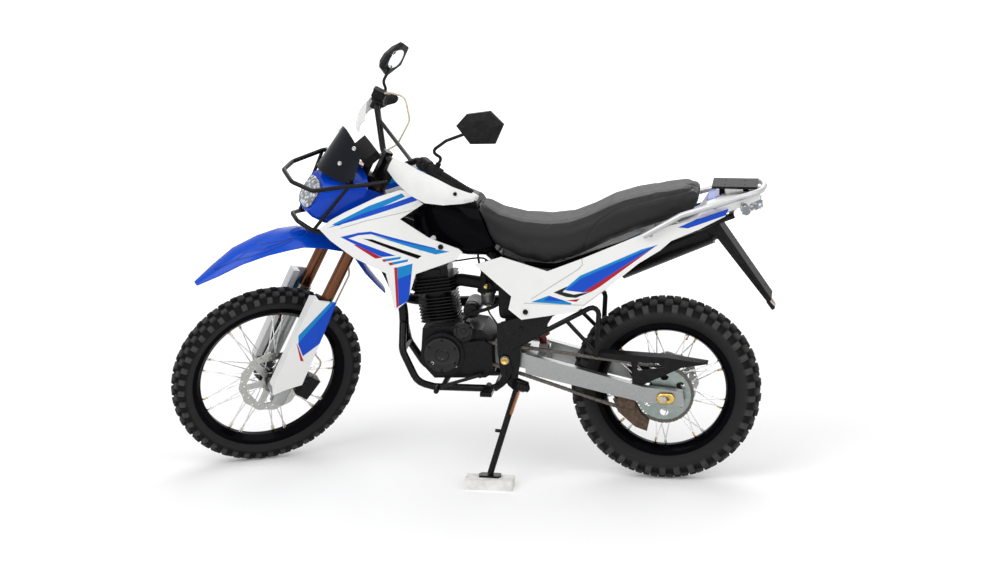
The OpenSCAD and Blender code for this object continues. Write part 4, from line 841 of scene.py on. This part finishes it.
class ENDURO_OT_tyres(Operator):
    """Makes the knobbly tyres, whose knobs reach the solids' outer surface"""
    bl_idname = "enduro.tyres"
    bl_label = "Make the tyres"

    # Rows of knobs: from and to in half widths, shift and length in pitches
    ROWS = [(-0.27, 0.27, 0.0, 0.5), (0.33, 0.64, 0.5, 0.52), (-0.64, -0.33, 0.5, 0.52),
            (0.7, 1.0, 0.06, 0.44), (-1.0, -0.7, 0.06, 0.44)]
    # Tyres: joint, outer radius, width, bead radius, rim width, knobs round, knob height, in millimetres
    TYRES = {
        "front": (FRONT, FRONT_R, 86.0, 267.0, 50.0, 44, 14.0),
        "rear": (REAR, REAR_R, 110.0, 229.0, 60.0, 37, 17.0),
    }
    # Points of the grid to each knob, and how far a knob stands out sideways in millimetres
    FINE, SPREAD = 16, 7
    # A knob's slopes across, in half widths, and along, in pitches, and where the knobs end, in degrees
    ACROSS, ALONG, LAST = 0.035, 0.06, 88

    def execute(self, context):
        for end, (joint, r, w, bead, rim, count, height) in self.TYRES.items():
            shape, knob = self.tyre(joint, r, w / 2, bead, rim / 2, count, height)
            obj = piece(end + "_tyre_tread", shape, tyre_rubber(end, joint, r),
                        end + "_wheel", sharp=38)
            obj.data.attributes.new("knob", "FLOAT", "POINT").data.foreach_set("value", knob)
            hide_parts(end + "_tyre")
        return {"FINISHED"}

    def tyre(self, joint, r, c, bead, b, count, height):
        """A section carried round the axle. At section angle a the carcass is an ellipse about the crown's
        middle, and a knob moves a point out to the crown by the least of its row's ramps across and along."""
        a = np.radians(np.linspace(-100, 100, 63))
        turn = np.arange(count * self.FINE) / self.FINE
        mask = np.zeros((len(turn), len(a)))
        for low, high, shift, share in self.ROWS:
            across = np.clip(np.minimum(np.sin(a) - low, high - np.sin(a)) / self.ACROSS, 0, 1)
            across *= np.abs(a) < math.radians(self.LAST)
            place = np.abs((turn - shift + 0.5) % 1 - 0.5)
            along = np.clip((share / 2 - place) / self.ALONG + 0.5, 0, 1)
            mask = np.maximum(mask, np.minimum(across[None], along[:, None]))
        out = r - c + (c - height) * np.cos(a) + mask * height * np.cos(a)
        side = (c - self.SPREAD) * np.sin(a) + mask * self.SPREAD * np.sin(a)
        wall = np.array([(bead + 4, b - 2), (bead + 13, b - 1), (bead + 17, b + 4)])
        ends = np.broadcast_to(wall, (len(turn), 3, 2))
        out = np.concatenate([ends[..., 0], out, ends[:, ::-1, 0]], 1)
        side = np.concatenate([-ends[..., 1], side, ends[:, ::-1, 1]], 1)
        t = turn * 2 * math.pi / count
        pts = np.stack([out * np.cos(t)[:, None], side, out * np.sin(t)[:, None]], -1)
        faces = grid_faces(len(turn), out.shape[1], wrap_rows=True, wrap_cols=True)
        return (wheel_axes(joint).at(pts.reshape(-1, 3)), faces), np.pad(mask, ((0, 0), (3, 3))).ravel()


class ENDURO_OT_chain(Operator):
    """Makes the drive chain of plates and rollers on the solid's run"""
    bl_idname = "enduro.chain"
    bl_label = "Make the chain"

    # Pitch, rear sprocket's teeth, place to the left, and drive sprocket's middle and radius, in millimetres
    PITCH, TEETH, SIDE, DRIVE, DRIVE_R = 12.7, 48, 78.0, (800.0, 465.0), 35.0
    # Radii of a plate's end and waist, its thickness, and the roller's radius and half width
    PLATE_R, WAIST_R, PLATE, ROLLER_R, ROLLER = 5.8, 4.3, 1.5, 3.9, 2.9
    # Place of the inner plates, and how much further out the outer plates are
    INNER, OUTER = 3.6, 1.7

    def pins(self):
        """Pins at even lengths along the run: an arc on each sprocket and the two lines that touch both."""
        big = self.PITCH / (2 * math.sin(math.pi / self.TEETH))
        a, b = np.array([WHEELBASE, REAR_R]), np.array(self.DRIVE)
        long = np.linalg.norm(b - a)
        lean, open_ = math.atan2(b[1] - a[1], b[0] - a[0]), math.acos((big - self.DRIVE_R) / long)
        ring = lambda c, r, w: c + r * np.stack([np.cos(w), np.sin(w)], -1)
        loop = np.concatenate([ring(a, big, np.linspace(lean + open_, lean - open_ + 2 * math.pi, 240)),
                               ring(b, self.DRIVE_R, np.linspace(lean - open_, lean + open_, 120))])
        loop = np.concatenate([loop, loop[:1]])
        far = np.concatenate([[0], np.cumsum(np.linalg.norm(np.diff(loop, axis=0), axis=1))])
        count = 2 * round(far[-1] / self.PITCH / 2)
        at = np.arange(count) * far[-1] / count
        return np.stack([np.interp(at, far, loop[:, k]) for k in (0, 1)], -1)

    def execute(self, context):
        pins = self.pins()
        ahead = np.roll(pins, -1, 0) - pins
        half = np.linalg.norm(ahead, axis=1, keepdims=True) / 2
        way = ahead / (2 * half)
        turn = np.stack([-way[:, 1], way[:, 0]], -1)
        # A plate: two round ends about the pins, joined at a waist
        t = np.radians([-110, -60, 0, 60, 110])
        end = np.stack([np.cos(t), np.sin(t)], -1) * self.PLATE_R
        ring = np.concatenate([end, [[0, self.WAIST_R]], -end, [[0, -self.WAIST_R]]])
        u = ring[:, 0] + np.repeat([1, 0, -1, 0], [5, 1, 5, 1]) * half
        side = self.INNER + self.OUTER * (np.arange(len(pins)) % 2)[:, None]
        parts = [self.prisms(pins + ahead / 2, way, turn, u, ring[:, 1], flip * side, self.PLATE / 2)
                 for flip in (-1, 1)]
        # A roller: a ring of eight points about the pin
        u, v = self.ROLLER_R * np.cos(angles(8)), self.ROLLER_R * np.sin(angles(8))
        parts.append(self.prisms(pins, way, turn, u, v, np.zeros((1, 1)), self.ROLLER))
        obj = piece("chain_links", joined(parts), "chain_steel", smooth=False)
        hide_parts("chain")
        return {"FINISHED"}

    def prisms(self, middle, way, turn, u, v, side, half):
        """Closed prisms about the middles: a flat outline, u along the way and v across it, drawn out by half
        to either side, and both ends closed to the middle."""
        flat = middle[:, None] + u[..., None] * way[:, None] + v[:, None] * turn[:, None]
        hub = np.broadcast_to(middle[:, None], flat.shape)
        rows = np.stack([hub, flat, flat, hub], 1)
        y = side[..., None] + np.array([-1, -1, 1, 1])[:, None] * half - self.SIDE
        pts = np.stack([rows[..., 0], np.broadcast_to(y, rows.shape[:3]), rows[..., 1]], -1)
        start = np.arange(len(middle)) * 4 * len(v)
        faces = grid_faces(4, len(v), wrap_cols=True) + start[:, None, None]
        return BIKE.at(pts.reshape(-1, 3)), faces.reshape(-1, 4)


class ENDURO_OT_carburettor(Operator):
    """Adds the carburettor, the starter motor, the battery box and their hoses behind the cylinder"""
    bl_idname = "enduro.carburettor"
    bl_label = "Add the carburettor"

    # Turned parts: name, finish, slot, place, way, and profile of radius and height, in millimetres
    TURNED = [
        ("float_bowl", "cast_grey", "alloy", (800, 0, 664), (0, 0, -1),
         [(0, 0), (26, 0), (29, 3), (29, 9), (25, 11), (23, 38), (18, 46), (9, 49), (9, 55), (0, 55)]),
        ("slide_cap", "cast_black", "engine_black", (800, 0, 716), (0, 0, 1),
         [(0, 0), (24, 0), (24, 22), (27, 24), (27, 34), (22, 37), (7, 39), (5, 52), (0, 52)]),
        ("drain_nut", "gold_zinc", "alloy", (800, 0, 610), (0, 0, -1),
         [(0, 0), (6, 0), (6, 7), (4, 9), (0, 9)]),
        ("choke_knob", "gold_zinc", "alloy", (800, -40, 690), (0, -1, 0),
         [(0, 0), (7, 0), (8, 6), (5, 9), (5, 16), (0, 17)]),
        ("starter_motor", "cast_black", "engine_black", (748, 62, 602), (0, -1, 0),
         [(0, 0), (27, 0), (30, 4), (30, 88), (28, 90), (28, 110), (24, 120), (10, 123), (9, 127), (0, 127)]),
    ]
    # Battery box: middle and half sizes in millimetres
    BOX = ((888, -4, 668), (44, 66, 92))

    def execute(self, context):
        for name, look, slot, place, way, profile in self.TURNED:
            piece(name, turned(profile, BIKE.at(place), BIKE.way(way), 32), look, sharp=40)
        piece("battery_box", rounded_box(BIKE, *self.BOX), "moulded_black", sharp=50)
        self.hoses()
        return {"FINISHED"}

    def hoses(self):
        """Each hose is a tube on a cubic curve: four points weighted by the powers of t and 1 - t."""
        tap = BIKE.inside(landing("tank", BIKE.at((775, -46, 740)), BIKE.z)[0])
        vent = BIKE.inside(landing("engine_case", BIKE.at((722, -44, 640)), -BIKE.z)[0])
        runs = [(4.0, tap + [0, 0, 2], tap - [0, 4, 40], (796, -60, 735), (800, -26, 694)),
                (6.5, vent - [0, 0, 2], vent + [-4, -26, 60], (835, -92, 610), (850, -50, 640)),
                (3.0, (800, 0, 606), (800, -14, 560), (852, -34, 580), (848, -40, 470)),
                (3.0, (800, 0, 764), (800, -20, 800), (740, -74, 790), (690, -76, 786))]
        t = np.linspace(0, 1, 24)[:, None]
        parts = []
        for r, a, b, c, d in runs:
            path = ((1 - t) ** 3 * np.array(a) + 3 * t * (1 - t) ** 2 * np.array(b)
                    + 3 * t ** 2 * (1 - t) * np.array(c) + t ** 3 * np.array(d))
            parts.append(sweep(BIKE.at(path), r, 12))
        piece("engine_hoses", joined(parts), "rubber")


class ENDURO_OT_hardware(Operator):
    """Adds bolts, nipples, grip ribs, covers and other small pieces where the CAD surfaces carry them"""
    bl_idname = "enduro.hardware"
    bl_label = "Add small hardware"

    def execute(self, context):
        self.bolts(context.scene.enduro_stage)
        self.nipples("front", FRONT)
        self.nipples("rear", REAR)
        self.grips()
        self.switches()
        self.glass()
        self.adjusters()
        self.cap()
        self.covers()
        self.vents()
        self.spring()
        self.reflector()
        return {"FINISHED"}

    def vents(self):
        """A dark plate behind each shroud's slot: a strip along it, set in from the face above and below."""
        line = np.linspace((402.0, 897.0), (604.0, 821.0), 10)
        reach, depth, lap = 27, 14, 9
        for side, flip in SIDES:
            rows = []
            for up in (1, -1):
                spots = [from_side("shroud_" + side, x, z + up * reach, flip)[0] for x, z in line]
                rows.append(BIKE.inside(spots) - np.array([0, depth * flip, up * lap]))
            thick = np.array([0, 2 * flip, 0])
            pts = BIKE.at(np.concatenate([rows[0], rows[1], rows[1] - thick, rows[0] - thick]))
            faces = grid_faces(4, len(line), wrap_rows=True)
            piece("vent_back_" + side, (pts, faces), "moulded_black")

    def spring(self):
        """The stand's return spring: a helix of even pitch beside the leg, drawn out at both ends."""
        top, foot = np.array([926.0, -112.0, 352.0]), np.array([828.0, -203.0, 62.0])
        d = (foot - top) / np.linalg.norm(foot - top)
        side = np.array([0, -1.0, 0]) - d * -d[1]
        side /= np.linalg.norm(side)
        coils, radius, start, long, beside = 14, 5.5, 14, 88, 19
        t = np.linspace(0, 1, coils * 12)
        turn = t * coils * 2 * math.pi
        r = radius * np.clip(np.minimum(t, 1 - t) * coils, 0, 1)
        path = (top + side * beside + d * (start + long * t)[:, None] + r[:, None] * (
            np.cos(turn)[:, None] * side + np.sin(turn)[:, None] * np.cross(d, side)))
        piece("stand_spring", sweep(BIKE.at(path), 1.4, 6), "copper", "stand")

    def reflector(self):
        """A round red reflector with a bright rim on the rear face of the plate bracket's low end."""
        spot, normal = landing("rear_fender", BIKE.at((2100, 0, 655)), BIKE.way((-1, 0, 0)))
        lens = [(0, 6), (12, 5.5), (20, 3.5), (22, 0)]
        rim = [(20.5, 3.5), (22.5, 4.5), (24.5, 3.5), (24.5, -1)]
        piece("rear_reflector", turned(lens, spot, normal, 32), "reflector_red")
        piece("reflector_rim", turned(rim, spot, normal, 32), "bright_steel")

    def glass(self):
        """Mirror glass on each mirror's rear face."""
        for (side, flip), up in zip(SIDES, (1587, 1503)):
            sheet = inlay("mirrors", FORK, (44, 366 * flip, up), (-0.62, 0.78 * flip, 0), (48, 36))
            piece("mirror_glass_" + side, sheet, "mirror_glass", "steering", sharp=25)

    def covers(self):
        """Round covers on the engine's sides: stepped rims turned on each boss, with screws on a circle."""
        profile = [(0, 2.5), (0.2, 2.5), (0.24, 4.5), (0.34, 4.5), (0.38, 1.2), (0.7, 2.0), (0.76, 4.5),
                   (0.9, 4.5), (0.97, 3.0), (1.0, -2.0)]
        circle, rise = 0.83, 4.5
        low, high = [], []
        for x, z, r, screws, flip in ((654, 460, 64, 6, -1), (728, 544, 33, 3, -1), (690, 450, 74, 7, 1)):
            spot, _ = from_side("engine_case", x, z, flip)
            low.append(turned([(a * r, h) for a, h in profile], spot, BIKE.y * flip, 48))
            t = angles(screws) + 0.5
            ring = np.stack([np.cos(t), 0 * t, np.sin(t)], -1) * r * circle + [0, rise * flip, 0]
            high += [bolt(p, BIKE.y * flip, 5) for p in BIKE.at(BIKE.inside(spot) + ring)]
        piece("engine_covers", joined(low), "cover_black", sharp=35)
        piece("cover_screws", joined(high), "frame_black")

    def adjusters(self):
        """A slotted plate and a nut at the rear axle's left end, against the arm's outer face."""
        spot, _ = from_side("swingarm", WHEELBASE, REAR_R + 14, -1)
        y = BIKE.inside(spot)[1]
        plate = stadium(BIKE, (WHEELBASE + 8, y + 0.5, REAR_R), (12, 19), (4, 6), 4.0)
        piece("adjuster_plate", plate, "gold_zinc")
        profile = [(0, 8), (8, 8.5), (12.5, 7.5), (12.5, 0), (0, 0)]
        nut = turned(profile, BIKE.at((WHEELBASE, y - 3, REAR_R)), -BIKE.y, 6)
        piece("axle_nut", nut, "bright_steel", smooth=False)

    def cap(self):
        """The filler cap: a low dome with a rim, turned round the filler's axis."""
        spot, _ = landing("tank", BIKE.at((640, 0, 1300)), BIKE.way((0, 0, -1)))
        profile = [(0, 11), (12, 10.8), (24, 9), (30, 6), (31, 3), (35, 2), (36, -4)]
        piece("filler_cap", turned(profile, spot, BIKE.z, 40), "bright_steel")

    def bolts(self, settings):
        """Each bolt is cast onto its node and sits on the surface that it meets. One that the picture shows
        is cast through its pixel, and mirrored in the axes' middle plane."""
        made = {}
        for node, x, z, flip, r, look in BOLTS:
            made.setdefault(("bolts", "chassis", look), []).append(bolt(*from_side(node, x, z, flip), r))
        for node, body, axes, pixel, r, look in SEEN_BOLTS:
            spot, normal = landing(node, *sight(settings, pixel))
            twin = axes.at(axes.inside(spot) * [1, -1, 1])
            pair = [bolt(spot, normal, r), bolt(twin, normal - 2 * (normal @ axes.y) * axes.y, r)]
            made.setdefault(("seen_bolts", body, look), []).extend(pair)
        for (kind, body, look), parts in made.items():
            piece("_".join((kind, body, look)), joined(parts), look, body)

    def nipples(self, end, joint):
        """A nipple wraps each spoke's outer end: the points at the end of the reach, grouped by angle."""
        last, inward, outward, radius, apart = 8, 16, 3, 3.6, math.radians(2.5)
        hub = wheel_axes(joint)
        p = hub.inside(mesh_points(frame["nodes"][end + "_spokes"].data))
        r = np.hypot(p[:, 0], p[:, 2])
        keep = p[r > r.max() - last]
        angle = np.arctan2(keep[:, 2], keep[:, 0])
        order = np.argsort(angle)
        keep, angle = keep[order], angle[order]
        parts = []
        for g in np.split(keep, np.where(np.diff(angle) > apart)[0] + 1):
            tip = g.mean(0)
            way = np.array([tip[0], 0, tip[2]]) / np.hypot(tip[0], tip[2])
            path = hub.at(np.linspace(tip - way * inward, tip + way * outward, 3))
            parts.append(sweep(path, radius, 8))
        piece(end + "_nipples", joined(parts), "gold_zinc", end + "_wheel")

    def switches(self):
        """Rounded boxes on the bar by each grip: a switch block, and the brake's reservoir on the right."""
        knob = [(0, 6), (5, 6), (6, 4), (6, -2)]
        for side, flip in SIDES:
            bar = Axes(FORK.at((-8, 243 * flip, 1359.5)), FORK.way((12, 20 * flip, -1)), FORK.z)
            parts = [rounded_box(bar, (0, 0, 1), (20, 20, 20)), rounded_box(bar, (0, 2, -1), (15, 27, 16))]
            if side == "right":
                parts += [rounded_box(bar, (-8, 0, 33), (24, 28, 14)),
                          rounded_box(bar, (-8, 0, 48), (26, 30, 4))]
            piece("switch_block_" + side, joined(parts), "moulded_black", "steering",
                  sharp=50)
            knobs = [turned(knob, bar.at((20, y, 4)), bar.x, 16) for y in (-9, 6)]
            piece("switch_knobs_" + side, joined(knobs), "cast_black", "steering")

    def grips(self):
        """Ribs on the grips: rings of a bell-shaped section spaced evenly along each grip."""
        inner, outer = np.array([33.5, 294.0, 1357.8]), np.array([121.0, 385.0, 1355.0])
        ribs, fine = 15, 9
        t = np.linspace(0.06, 0.95, ribs * fine)
        bulge = 16.6 + 1.2 * np.maximum(np.sin(np.arange(len(t)) * 2 * math.pi / fine), 0)
        for side, flip in SIDES:
            path = FORK.at((inner + (outer - inner) * t[:, None]) * [1, flip, 1])
            piece("grip_ribs_" + side, sweep(path, bulge, 28), "rubber", "steering")


class ENDURO_OT_stage(Operator):
    """Sets the floor, the lights and the camera at the photograph's angle"""
    bl_idname = "enduro.stage"
    bl_label = "Set the studio"

    # Lamps: place in metres, power in watts, size in metres
    LAMPS = [((-2.5, -4.5, 5.0), 200, 4.0), ((4.0, -3.0, 4.0), 100, 4.0), ((0.0, 4.5, 4.5), 130, 5.0),
             ((0.0, -0.5, 6.0), 65, 5.0)]
    FLOOR_HALF = 40

    @staticmethod
    def looked_at(tree):
        """1 for rays from the camera and through gloss or glass, 0 for those that carry light."""
        rays = [Wire.make(tree, "ShaderNodeLightPath", {}, out="Is %s Ray" % kind)
                for kind in ("Camera", "Glossy", "Transmission")]
        return (rays[0] + rays[1] + rays[2]).least(1.0)

    def execute(self, context):
        s = context.scene.enduro_stage
        self.floor(s)
        self.lamps(Vector(s.target))
        self.world(context.scene, s.sky)
        self.camera(context.scene, s)
        context.scene.view_settings.view_transform = "Standard"
        return {"FINISHED"}

    def floor(self, s):
        """A flat floor that glows white away from the machine where it is looked at, so no horizon shows."""
        skin = Skin("studio_floor")
        tone = skin.mix(skin.noise(0.7, 2.0), tuple(c * 0.99 for c in s.floor), tuple(s.floor))
        far = Wire.make(skin.tree, "ShaderNodeVectorMath", {0: skin.place}, out=1, operation="LENGTH")
        glow = self.looked_at(skin.tree) * (far.ramp(2.0, 6.0) * 0.7 + 0.1)
        skin.set(base_color=tone, roughness=0.9, emission_color=skin.mix(glow, (0, 0, 0), (1, 1, 1)),
                 emission_strength=1.0)
        mesh = bpy.data.meshes.new("studio_floor")
        w = self.FLOOR_HALF
        mesh.from_pydata([(-w, -w, 0), (w, -w, 0), (w, w, 0), (-w, w, 0)], [], [(0, 1, 2, 3)])
        mesh.materials.append(skin.material)
        link("studio_floor", mesh)

    def lamps(self, aim):
        """Square lamps that face the picture's middle."""
        for k, (place, power, size) in enumerate(self.LAMPS):
            light = bpy.data.lights.new("softbox_%d" % k, "AREA")
            light.energy, light.size = power, size
            lamp = link("softbox_%d" % k, light)
            lamp.location = place
            lamp.rotation_euler = (aim - Vector(place)).to_track_quat("-Z", "Y").to_euler()

    def world(self, scene, sky):
        """A white world, which gives light at the level of the sky."""
        world = bpy.data.worlds.new("studio_world")
        world.use_nodes = True
        tree = world.node_tree
        colour, strength = tree.nodes["Background"].inputs[:2]
        colour.default_value = (1, 1, 1, 1)
        tree.links.new((self.looked_at(tree) * (1 - sky) + sky).socket, strength)
        scene.world = world

    def camera(self, scene, s):
        """The camera that was fitted to the photograph."""
        back = Vector(camera_back(s))
        data = bpy.data.cameras.new("photo_camera")
        data.lens, data.sensor_width, data.clip_end = s.lens, SENSOR, 100.0
        camera = link("photo_camera", data)
        camera.location = Vector(s.target) + back * s.distance
        camera.rotation_euler = (-back).to_track_quat("-Z", "Y").to_euler()
        scene.camera = camera


class ENDURO_PT_panel(Panel):
    """Buttons for the dressing steps"""
    bl_idname = "ENDURO_PT_panel"
    bl_label = "Enduro motorcycle"
    bl_space_type = "VIEW_3D"
    bl_region_type = "UI"
    bl_category = "Enduro"

    def draw(self, context):
        for name in STEPS:
            self.layout.operator("enduro." + name)


STEPS = ("stage", "finishes", "seat", "tyres", "chain", "carburettor", "hardware")
CLASSES = (StageSettings, PaintSettings, SeatSettings, ENDURO_OT_finishes, ENDURO_OT_seat, ENDURO_OT_tyres,
           ENDURO_OT_chain, ENDURO_OT_carburettor, ENDURO_OT_hardware, ENDURO_OT_stage, ENDURO_PT_panel)


def register():
    for cls in CLASSES:
        bpy.utils.register_class(cls)
    bpy.types.Scene.enduro_stage = PointerProperty(type=StageSettings)
    bpy.types.Scene.enduro_paint = PointerProperty(type=PaintSettings)
    bpy.types.Scene.enduro_seat = PointerProperty(type=SeatSettings)


def unregister():
    for name in ("enduro_stage", "enduro_paint", "enduro_seat"):
        delattr(bpy.types.Scene, name)
    for cls in reversed(CLASSES):
        bpy.utils.unregister_class(cls)


def main():
    register()
    for name in STEPS:
        getattr(bpy.ops.enduro, name)()


if __name__ == "__main__":
    main()
